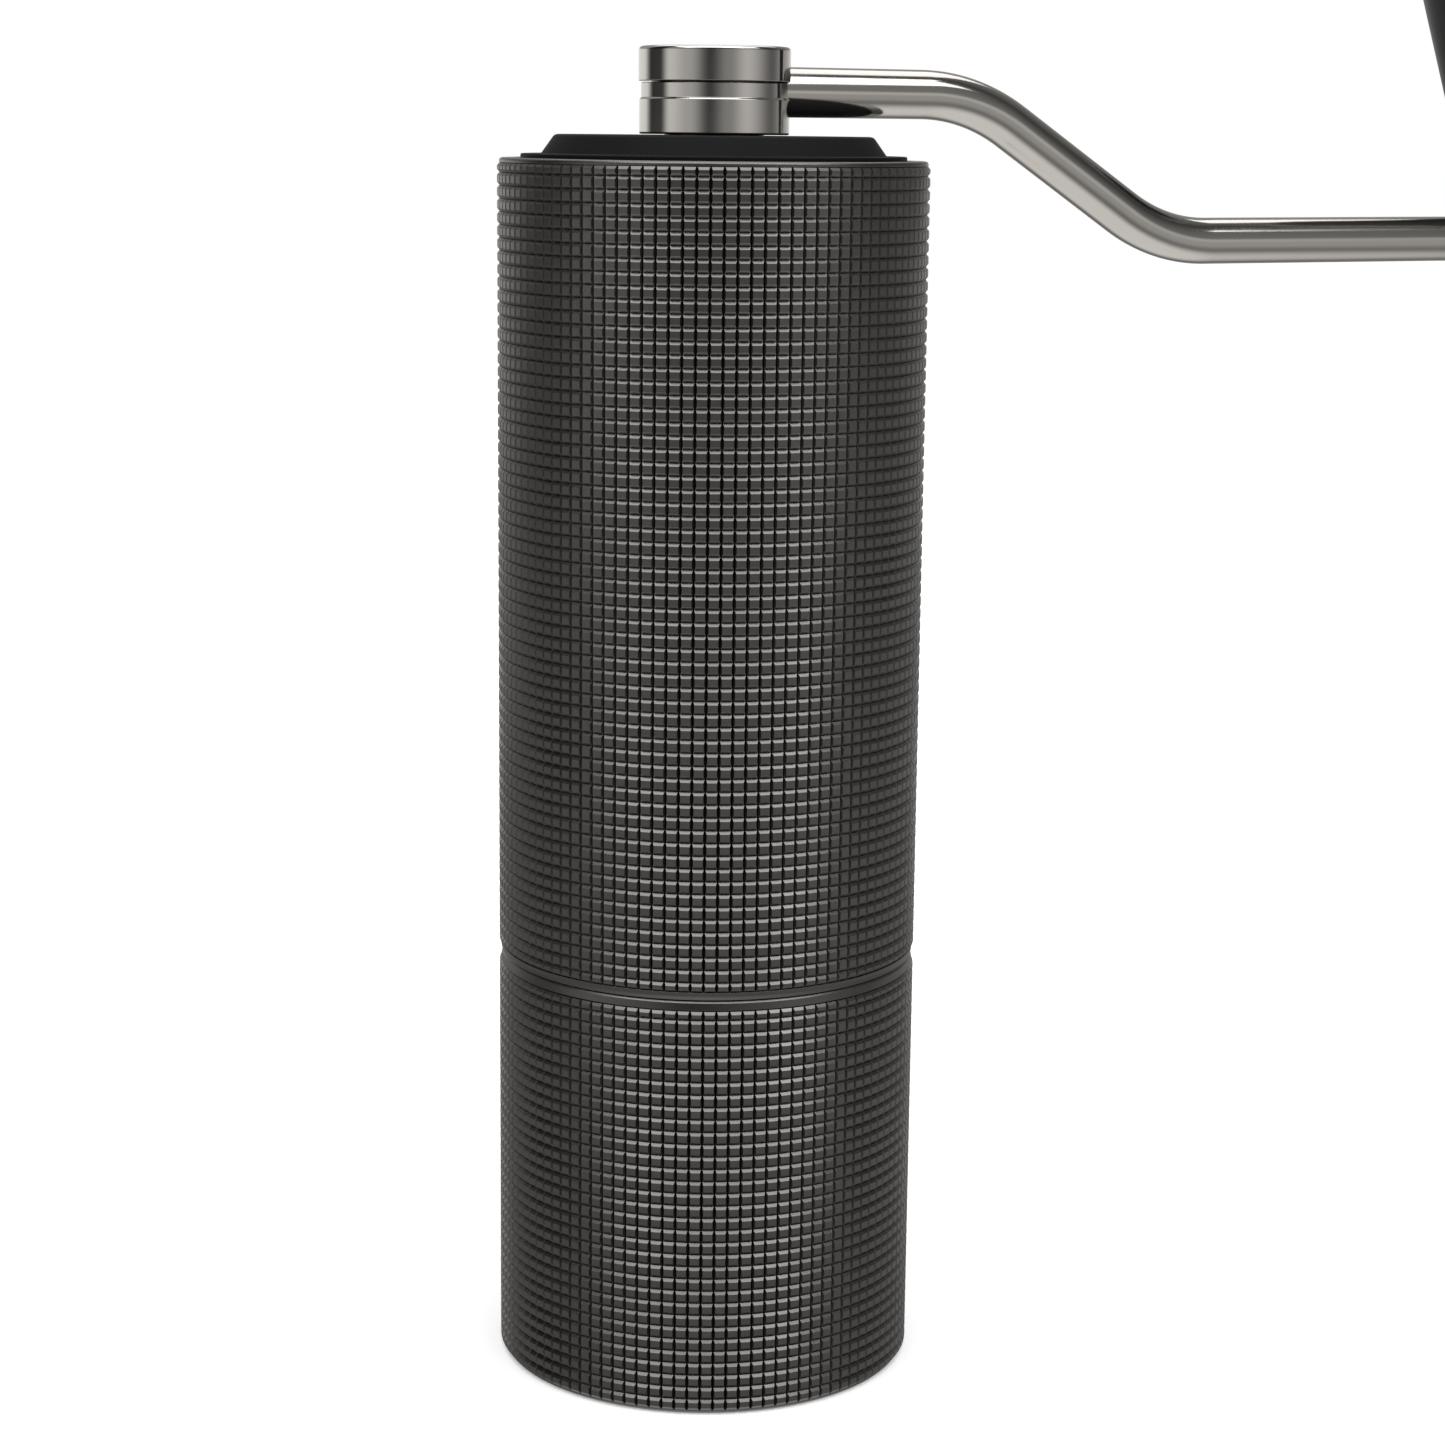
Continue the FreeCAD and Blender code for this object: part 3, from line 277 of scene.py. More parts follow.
@dataclass
class TileGrip:
    """Rows of raised square tiles all round a tube, with part rows at both ends.

    slot and seam are half the widths of the upright and the level grooves, cut slot_depth below the slopes.
    flank and bevel are the widths of the slopes beside a tile and at its ends.
    """

    low_edge: float
    first_groove: float
    rows: int
    high_edge: float
    columns: int = 104
    pitch: float = 1.533
    face_radius: float = 26.0
    depth: float = 0.4
    slot: float = 0.09
    seam: float = 0.03
    slot_depth: float = 0.14
    flank: float = 0.12
    bevel: float = 0.34

    @property
    def floor_radius(self) -> float:
        """Distance of the groove floors from the axis."""
        return self.face_radius - self.depth

    @property
    def rise(self) -> float:
        """How far a tile's flat face stands off its flat ground, so that its corners reach the face."""
        half_turn = math.pi / self.columns
        half_width = self.floor_radius * math.sin(half_turn) - self.slot - self.flank
        return math.sqrt(self.face_radius**2 - half_width**2) - self.floor_radius * math.cos(half_turn)

    def bands(self) -> list[bpy.types.Object]:
        """The part row below, the whole rows and the part row above."""
        last_groove = self.first_groove + self.rows * self.pitch
        return [
            self._band("tiles_low", self.low_edge, self.first_groove - self.low_edge, 1),
            self._band("tiles", self.first_groove, self.pitch, self.rows),
            self._band("tiles_high", last_groove, self.high_edge - last_groove, 1),
        ]

    def _band(self, name: str, bottom: float, height: float, rows: int) -> bpy.types.Object:
        """Rows of tiles, each raised twice from a tube: out of the narrow slots, then up to its bevels.

        Args:
            name: the band's name.
            bottom: height of the lowest groove.
            height: height of one row.
            rows: number of rows.

        Returns:
            The open band.
        """
        Bench.clear()
        bpy.ops.mesh.primitive_cylinder_add(
            vertices=self.columns,
            radius=self.floor_radius * MM,
            depth=height * MM,
            end_fill_type="NOTHING",
            location=(0.0, 0.0, (bottom + height / 2) * MM),
        )
        band = Bench.settle(name)
        Bench.edit(band)
        middle = bottom + height / 2
        self._raise(height, self.slot, self.seam, self.slot_depth, middle)
        ledge = height - 2 * self.seam
        self._raise(ledge, self.flank, self.bevel, self.rise - self.slot_depth, middle)
        Bench.take(band)
        if rows > 1:
            step = band.modifiers.new("rows", "ARRAY")
            step.use_relative_offset = False
            step.use_constant_offset = True
            step.constant_offset_displace = (0.0, 0.0, height * MM)
            step.count = rows
            bpy.ops.object.modifier_apply(modifier=step.name)
        return band

    @staticmethod
    def _raise(height: float, side: float, end: float, lift: float, middle: float) -> None:
        """Inset the selected faces of a row, lift them, and set their upper and lower margins.

        Args:
            height: height of the faces.
            side: margin left and right.
            end: margin above and below.
            lift: how far the faces rise.
            middle: height of the row's middle.
        """
        bpy.ops.mesh.inset(thickness=side * MM, depth=lift * MM, use_individual=True)
        bpy.ops.transform.resize(
            value=(1.0, 1.0, (height - 2 * end) / (height - 2 * side)),
            center_override=(0.0, 0.0, middle * MM),
        )


class Wiring:
    """Small runs of shader nodes that the finishes and the room share."""

    @staticmethod
    def maths(
        tree: bpy.types.NodeTree, operation: str, first: bpy.types.NodeSocket, second: bpy.types.NodeSocket
    ) -> bpy.types.NodeSocket:
        """Work out one number from two.

        Args:
            tree: the nodes to add to.
            operation: the name of the sum.
            first: the first number.
            second: the second number.

        Returns:
            The result's socket.
        """
        node = tree.nodes.new("ShaderNodeMath")
        node.operation = operation
        tree.links.new(first, node.inputs[0])
        tree.links.new(second, node.inputs[1])
        return node.outputs[0]

    @staticmethod
    def spread(
        tree: bpy.types.NodeTree,
        value: bpy.types.NodeSocket,
        span: Span,
        ends: Span = (0.0, 1.0),
        eased: bool = False,
    ) -> bpy.types.Node:
        """Spread a number from one span over another.

        Args:
            tree: the nodes to add to.
            value: the number.
            span: where the number starts and ends.
            ends: the results there.
            eased: whether the result starts and ends gently.

        Returns:
            The node, with its Result.
        """
        node = tree.nodes.new("ShaderNodeMapRange")
        node.interpolation_type = "SMOOTHSTEP" if eased else "LINEAR"
        node.inputs["From Min"].default_value, node.inputs["From Max"].default_value = span
        node.inputs["To Min"].default_value, node.inputs["To Max"].default_value = ends
        tree.links.new(value, node.inputs["Value"])
        return node

    @staticmethod
    def blend(
        tree: bpy.types.NodeTree, share: bpy.types.NodeSocket, first: bpy.types.NodeSocket
    ) -> bpy.types.Node:
        """Blend from a first colour to a second.

        Args:
            tree: the nodes to add to.
            share: the share of the second colour.
            first: the first colour.

        Returns:
            The node, with its second colour B and its Result.
        """
        node = tree.nodes.new("ShaderNodeMix")
        node.data_type = "RGBA"
        tree.links.new(share, node.inputs["Factor"])
        tree.links.new(first, node.inputs["A"])
        return node


class Effects:
    """Shader node groups that several finishes share, each built once."""

    GRAIN_DETAIL = 3.0
    MARK_DETAIL = 4.0
    PATCH_DETAIL = 2.0
    PATCH_SPAN = (0.3, 0.7)
    # Painted shade: ambient occlusion darkens the base colour inside narrow gaps
    GAP_SAMPLES = 8
    GAP_SPAN = (0.25, 0.7)
    GAP_ENDS = (0.05, 1.0)

    def __init__(self) -> None:
        """Build the groups."""
        self.grain = self._grain()
        self.marks = self._marks()
        self.handling = self._handling()
        self.painted_crevice_shade = self._painted_crevice_shade()

    @staticmethod
    def _start(
        name: str, inputs: dict[str, str], outputs: list[str]
    ) -> tuple[bpy.types.NodeTree, bpy.types.Node, bpy.types.Node]:
        """Make an empty group.

        Args:
            name: the group's name.
            inputs: each input's name and socket type.
            outputs: the names of its number outputs.

        Returns:
            The group, its input node and its output node.
        """
        group = bpy.data.node_groups.new(name, "ShaderNodeTree")
        for label, kind in inputs.items():
            group.interface.new_socket(label, in_out="INPUT", socket_type=kind)
        for label in outputs:
            group.interface.new_socket(label, in_out="OUTPUT", socket_type="NodeSocketFloat")
        return group, group.nodes.new("NodeGroupInput"), group.nodes.new("NodeGroupOutput")

    @staticmethod
    def _tone(
        group: bpy.types.NodeTree, height: bpy.types.NodeSocket, amount: bpy.types.NodeSocket
    ) -> bpy.types.NodeSocket:
        """A number about 1 that swings by an amount as a 0 to 1 height changes.

        Args:
            group: the group to build in.
            height: the changing height.
            amount: how far the tone swings.

        Returns:
            The tone's socket.
        """
        centred = group.nodes.new("ShaderNodeMath")
        centred.operation = "SUBTRACT"
        centred.inputs[1].default_value = 0.5
        group.links.new(height, centred.inputs[0])
        swing = group.nodes.new("ShaderNodeMath")
        swing.operation = "MULTIPLY_ADD"
        swing.inputs[2].default_value = 1.0
        group.links.new(centred.outputs[0], swing.inputs[0])
        group.links.new(amount, swing.inputs[1])
        return swing.outputs[0]

    def _grain(self) -> bpy.types.NodeTree:
        """Fine even grain, as on blasted metal and moulded plastic."""
        sockets = {"Vector": "NodeSocketVector", "Scale": "NodeSocketFloat", "Amount": "NodeSocketFloat"}
        group, given, made = self._start("fine_grain", sockets, ["Tone", "Height"])
        noise = group.nodes.new("ShaderNodeTexNoise")
        noise.inputs["Detail"].default_value = self.GRAIN_DETAIL
        group.links.new(given.outputs["Vector"], noise.inputs["Vector"])
        group.links.new(given.outputs["Scale"], noise.inputs["Scale"])
        height = noise.outputs["Fac"]
        group.links.new(self._tone(group, height, given.outputs["Amount"]), made.inputs["Tone"])
        group.links.new(height, made.inputs["Height"])
        return group

    def _marks(self) -> bpy.types.NodeTree:
        """Fine lines left by turning, drawing or grinding, drawn out along one way."""
        sockets = {
            "Vector": "NodeSocketVector",
            "Stretch": "NodeSocketVector",
            "Amount": "NodeSocketFloat",
        }
        group, given, made = self._start("tool_marks", sockets, ["Tone", "Height"])
        drawn = group.nodes.new("ShaderNodeVectorMath")
        drawn.operation = "MULTIPLY"
        group.links.new(given.outputs["Vector"], drawn.inputs[0])
        group.links.new(given.outputs["Stretch"], drawn.inputs[1])
        noise = group.nodes.new("ShaderNodeTexNoise")
        noise.inputs["Scale"].default_value = 1.0
        noise.inputs["Detail"].default_value = self.MARK_DETAIL
        group.links.new(drawn.outputs["Vector"], noise.inputs["Vector"])
        height = noise.outputs["Fac"]
        group.links.new(self._tone(group, height, given.outputs["Amount"]), made.inputs["Tone"])
        group.links.new(height, made.inputs["Height"])
        return group

    def _handling(self) -> bpy.types.NodeTree:
        """Patches of two glosses, as fingers and wear leave them."""
        sockets = {
            "Vector": "NodeSocketVector",
            "Scale": "NodeSocketFloat",
            "Low": "NodeSocketFloat",
            "High": "NodeSocketFloat",
        }
        group, given, made = self._start("handling", sockets, ["Roughness"])
        noise = group.nodes.new("ShaderNodeTexNoise")
        noise.inputs["Detail"].default_value = self.PATCH_DETAIL
        group.links.new(given.outputs["Vector"], noise.inputs["Vector"])
        group.links.new(given.outputs["Scale"], noise.inputs["Scale"])
        spread = Wiring.spread(group, noise.outputs["Fac"], self.PATCH_SPAN, eased=True)
        group.links.new(given.outputs["Low"], spread.inputs["To Min"])
        group.links.new(given.outputs["High"], spread.inputs["To Max"])
        group.links.new(spread.outputs["Result"], made.inputs["Roughness"])
        return group

    def _painted_crevice_shade(self) -> bpy.types.NodeTree:
        """Painted shade: 1 on open surfaces, and near 0 inside narrow gaps, from ambient occlusion."""
        group, given, made = self._start("painted_crevice_shade", {"Reach": "NodeSocketFloat"}, ["Open"])
        sky = group.nodes.new("ShaderNodeAmbientOcclusion")
        sky.samples = self.GAP_SAMPLES
        group.links.new(given.outputs["Reach"], sky.inputs["Distance"])
        spread = Wiring.spread(group, sky.outputs["AO"], self.GAP_SPAN, self.GAP_ENDS)
        group.links.new(spread.outputs["Result"], made.inputs["Open"])
        return group


@dataclass(frozen=True)
class Finish:
    """A surface: its colour, its roughness, and the fine grain or tool marks on it.

    relief and the reach of the painted shade are millimetres: the height of the grain, and how far painted
    shade darkens narrow gaps.
    """

    name: str
    colour: Colour
    metallic: float
    roughness: Span
    grain: float
    tone: float
    relief: float
    stretch: tuple[float, float, float] | None = None
    specular: float = 0.5
    patch: float = 60.0
    painted_shade_reach: float = 0.0

    def make(self, effects: Effects) -> bpy.types.Material:
        """Build the material.

        Args:
            effects: the shared node groups.

        Returns:
            The material.
        """
        material = bpy.data.materials.new(self.name)
        material.use_nodes = True
        tree = material.node_tree
        shader = tree.nodes["Principled BSDF"]
        shader.inputs["Metallic"].default_value = self.metallic
        shader.inputs["Specular IOR Level"].default_value = self.specular
        place = tree.nodes.new("ShaderNodeTexCoord").outputs["Object"]
        texture = self._texture(tree, effects, place)
        tint = tree.nodes.new("ShaderNodeMix")
        tint.data_type = "RGBA"
        tint.blend_type = "MULTIPLY"
        tint.inputs["Factor"].default_value = 1.0
        tint.inputs["A"].default_value = (*self.colour, 1.0)
        tree.links.new(self._shade(tree, effects, texture.outputs["Tone"]), tint.inputs["B"])
        tree.links.new(tint.outputs["Result"], shader.inputs["Base Color"])
        patches = tree.nodes.new("ShaderNodeGroup")
        patches.node_tree = effects.handling
        patches.inputs["Scale"].default_value = self.patch
        patches.inputs["Low"].default_value = self.roughness[0]
        patches.inputs["High"].default_value = self.roughness[1]
        tree.links.new(place, patches.inputs["Vector"])
        tree.links.new(patches.outputs["Roughness"], shader.inputs["Roughness"])
        bump = tree.nodes.new("ShaderNodeBump")
        bump.inputs["Distance"].default_value = self.relief * MM
        tree.links.new(texture.outputs["Height"], bump.inputs["Height"])
        tree.links.new(bump.outputs["Normal"], shader.inputs["Normal"])
        return material

    def _shade(
        self, tree: bpy.types.NodeTree, effects: Effects, tone: bpy.types.NodeSocket
    ) -> bpy.types.NodeSocket:
        """The tone of the grain, with painted shade darkening narrow gaps where the finish asks for it.

        Args:
            tree: the material's nodes.
            effects: the shared node groups.
            tone: the grain's tone.

        Returns:
            The socket of the shaded tone.
        """
        if self.painted_shade_reach == 0.0:
            return tone
        # painted shade: the grain's tone is multiplied down where ambient occlusion finds narrow gaps
        gaps = tree.nodes.new("ShaderNodeGroup")
        gaps.node_tree = effects.painted_crevice_shade
        gaps.inputs["Reach"].default_value = self.painted_shade_reach * MM
        return Wiring.maths(tree, "MULTIPLY", tone, gaps.outputs["Open"])

    def _texture(
        self, tree: bpy.types.NodeTree, effects: Effects, place: bpy.types.NodeSocket
    ) -> bpy.types.Node:
        """The grain of the surface, or its marks where they run one way.

        Args:
            tree: the material's nodes.
            effects: the shared node groups.
            place: the piece's own coordinates.

        Returns:
            The group node with its Tone and Height.
        """
        texture = tree.nodes.new("ShaderNodeGroup")
        if self.stretch is None:
            texture.node_tree = effects.grain
            texture.inputs["Scale"].default_value = self.grain
        else:
            texture.node_tree = effects.marks
            texture.inputs["Stretch"].default_value = [self.grain * share for share in self.stretch]
        texture.inputs["Amount"].default_value = self.tone
        tree.links.new(place, texture.inputs["Vector"])
        return texture


# How marks are drawn out: in level rings, as turning leaves them, or along the rod
ROUND_Z = (0.015, 0.015, 1.0)
ALONG_X = (0.01, 1.0, 1.0)

# Name, colour, metallic, roughness from and to, fineness of the grain, swing of its tone, relief, marks
SLOT_FINISHES = (
    # The two metals' last keyword sets how far painted shade darkens their narrow gaps
    Finish(
        "anodised_aluminium", (0.163, 0.157, 0.152), 1.0, (0.28, 0.36), 2600.0, 0.22, 0.006, painted_shade_reach=0.2
    ),
    Finish(
        "stainless_steel", (0.62, 0.6, 0.575), 1.0, (0.07, 0.12), 9000.0, 0.06, 0.001, ROUND_Z, painted_shade_reach=0.6
    ),
    Finish("burr_steel", (0.5, 0.5, 0.51), 1.0, (0.22, 0.34), 6000.0, 0.16, 0.004, ROUND_Z),
    Finish("plain_steel", (0.56, 0.56, 0.56), 1.0, (0.2, 0.3), 5200.0, 0.12, 0.003),
    Finish("bearing_steel", (0.7, 0.7, 0.71), 1.0, (0.08, 0.14), 8000.0, 0.05, 0.001, ROUND_Z),
    Finish("frame_plastic", (0.028, 0.028, 0.03), 0.0, (0.42, 0.54), 3800.0, 0.3, 0.012),
    Finish("lid_plastic", (0.007, 0.007, 0.0073), 0.0, (0.54, 0.62), 4200.0, 0.35, 0.01, specular=0.08),
    Finish("knob_plastic", (0.012, 0.012, 0.0125), 0.0, (0.32, 0.42), 4600.0, 0.3, 0.006, specular=0.35),
    Finish("bush_brass", (0.72, 0.55, 0.26), 1.0, (0.18, 0.28), 7000.0, 0.1, 0.002, ROUND_Z),
    Finish("gasket_rubber", (0.02, 0.02, 0.02), 0.0, (0.6, 0.75), 3000.0, 0.3, 0.01),
)
FINISHES = {finish.name: finish for finish in SLOT_FINISHES}
DRAWN_STEEL = Finish(
    "drawn_stainless_steel", (0.62, 0.6, 0.565), 1.0, (0.1, 0.16), 7000.0, 0.05, 0.001, ALONG_X
)


@dataclass
class Dresser:
    """Hands out finishes, and fits finished pieces to their bodies."""

    effects: Effects
    materials: dict[str, bpy.types.Material] = field(default_factory=dict)

    def material(self, finish: Finish) -> bpy.types.Material:
        """The material of a finish, made at its first use."""
        if finish.name not in self.materials:
            self.materials[finish.name] = finish.make(self.effects)
        return self.materials[finish.name]

    def fit(self, piece: bpy.types.Object, node: str, slot: str, finish: Finish | None = None) -> None:
        """Give a new piece its finish and put it in the place of a CAD node.

        Args:
            piece: the new piece.
            node: the CAD node that it stands for, whose body it rides on.
            slot: the record's material slot.
            finish: the finish, if it isn't the slot's usual one.
        """
        piece.data.materials.clear()
        piece.data.materials.append(self.material(finish or FINISHES[slot]))
        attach(piece, frame["nodes"][node]["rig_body"])
        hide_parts(node)
        log.info("%s stands for %s, with %d faces", piece.name, node, len(piece.data.polygons))


@dataclass
class Barrel:
    """The knurled tube that the hand holds."""

    bottom: float = 51.95
    rim: float = 149.3
    bore: float = 23.7
    chamfer: float = 0.3
    rim_lip: float = 25.76
    rim_round: float = 0.4
    rim_step: float = 0.05
    lip: float = 25.82
    lip_step: float = 0.1
    lip_round: float = 0.04
    lip_taper: float = 0.03
    foot: float = 25.62
    foot_height: float = 0.5
    foot_round: float = 0.5
    edge_round: float = 0.06
    grip: TileGrip = field(default_factory=lambda: TileGrip(53.0, 54.057, 61, 148.7))

    def build(self, dresser: Dresser) -> None:
        """Model the tiles, the plain lips and the bore, and dress the tube."""
        floor = self.grip.floor_radius
        wall = Lathe(
            "barrel_wall",
            [
                Corner(floor, self.grip.low_edge),
                Corner(self.lip, self.grip.low_edge - self.lip_step, self.lip_round),
                Corner(self.lip - self.lip_taper, self.bottom + self.foot_height, self.foot_round),
                Corner(self.foot, self.bottom, self.edge_round),
                Corner(self.bore, self.bottom),
                Corner(self.bore, self.rim - self.chamfer),
                Corner(self.bore + self.chamfer, self.rim),
                Corner(self.rim_lip, self.rim, self.rim_round),
                Corner(self.rim_lip, self.grip.high_edge + self.rim_step),
                Corner(floor, self.grip.high_edge),
            ],
            steps=self.grip.columns,
            closed=False,
        ).turn()
        barrel = Bench.join("knurled_barrel", [wall, *self.grip.bands()])
        Bench.smooth(barrel)
        dresser.fit(barrel, "body_shell", "anodised_aluminium")


@dataclass
class CatchCup:
    """The knurled cup that screws on under the barrel."""

    top: float = 51.85
    seat: float = 51.5
    seat_radius: float = 25.0
    seat_round: float = 0.1
    bore: float = 23.75
    mouth_round: float = 0.25
    floor: float = 2.5
    floor_corner: float = 4.0
    base_round: float = 0.55
    lip: float = 25.84
    lip_step: float = 0.14
    lip_round: float = 0.06
    lip_lean: float = 0.16
    top_chamfer: float = 0.27
    edge_round: float = 0.03
    thread_start: float = 47.05
    thread_pitch: float = 2.4
    thread_turns: float = 1.25
    thread_crest: float = 23.1
    thread_sink: float = 0.3
    thread_half_root: float = 0.45
    thread_half_crest: float = 0.25
    thread_steps: int = 90
    grip: TileGrip = field(default_factory=lambda: TileGrip(0.55, 1.947, 31, 50.6))

    def build(self, dresser: Dresser) -> None:
        """Model the tiles, the rim, the inside, the base and the thread, and dress the cup."""
        floor = self.grip.floor_radius
        lip_top = self.lip - self.lip_lean
        inside = Lathe(
            "cup_inside",
            [
                Corner(floor, self.grip.high_edge),
                Corner(self.lip, self.grip.high_edge + self.lip_step, self.lip_round),
                Corner(lip_top, self.top - self.top_chamfer, self.edge_round),
                Corner(lip_top - self.top_chamfer, self.top, self.edge_round),
                Corner(self.seat_radius, self.top, self.seat_round),
                Corner(self.seat_radius, self.seat),
                Corner(self.bore, self.seat, self.mouth_round),
                Corner(self.bore, self.floor, self.floor_corner),
                Corner(0.0, self.floor),
            ],
            steps=self.grip.columns,
            closed=False,
        ).turn()
        base = Lathe(
            "cup_base",
            [Corner(0.0, 0.0), Corner(floor, 0.0, self.base_round), Corner(floor, self.grip.low_edge)],
            steps=self.grip.columns,
            closed=False,
        ).turn()
        cup = Bench.join("knurled_cup", [inside, base, *self.grip.bands(), self._thread()])
        Bench.smooth(cup)
        dresser.fit(cup, "catch_cup", "anodised_aluminium")

    def _thread(self) -> bpy.types.Object:
        """The ridge inside the cup's mouth, a small section drawn out along a helix."""
        root = self.bore + self.thread_sink
        ridge = Lathe(
            "cup_thread",
            [
                Corner(root, self.thread_start + self.thread_half_root),
                Corner(self.thread_crest, self.thread_start + self.thread_half_crest),
                Corner(self.thread_crest, self.thread_start - self.thread_half_crest),
                Corner(root, self.thread_start - self.thread_half_root),
            ],
        ).outline()
        Bench.take(ridge)
        step = ridge.modifiers.new("helix", "SCREW")
        step.angle = math.tau * self.thread_turns
        step.screw_offset = self.thread_pitch * self.thread_turns * MM
        step.steps = self.thread_steps
        step.render_steps = self.thread_steps
        bpy.ops.object.modifier_apply(modifier=step.name)
        Bench.edit(ridge)
        bpy.ops.mesh.fill_holes(sides=4)
        Bench.seal(ridge)
        return ridge


@dataclass
class Lid:
    """The black lid that plugs the hopper's mouth."""

    bore: float = 6.06
    boss: float = 8.46
    boss_bottom: float = 148.2
    under: float = 149.7
    skirt_inner: float = 19.7
    skirt: float = 21.3
    skirt_bottom: float = 142.9
    seat: float = 148.9
    flange: float = 23.2
    flange_top: float = 149.8
    bevel_foot: float = 20.75
    bevel_top: float = 19.1
    top: float = 152.1
    soft_round: float = 0.3
    under_round: float = 0.4
    skirt_round: float = 0.5
    seat_round: float = 0.15
    flange_under_round: float = 0.12
    flange_round: float = 0.2
    crown_round: float = 0.8
    bore_round: float = 0.2

    def build(self, dresser: Dresser) -> None:
        """Turn the lid and dress it."""
        lid = Lathe(
            "lid_disc",
            [
                Corner(self.bore, self.boss_bottom),
                Corner(self.boss, self.boss_bottom, self.soft_round),
                Corner(self.boss, self.under, self.soft_round),
                Corner(self.skirt_inner, self.under, self.under_round),
                Corner(self.skirt_inner, self.skirt_bottom, self.soft_round),
                Corner(self.skirt, self.skirt_bottom, self.skirt_round),
                Corner(self.skirt, self.seat, self.seat_round),
                Corner(self.flange, self.seat, self.flange_under_round),
                Corner(self.flange, self.flange_top, self.flange_round),
                Corner(self.bevel_foot, self.flange_top, self.soft_round),
                Corner(self.bevel_top, self.top, self.crown_round),
                Corner(self.bore, self.top, self.bore_round),
            ],
            steps=FINE_TURN,
        ).turn()
        Bench.smooth(lid)
        dresser.fit(lid, "lid", "lid_plastic")


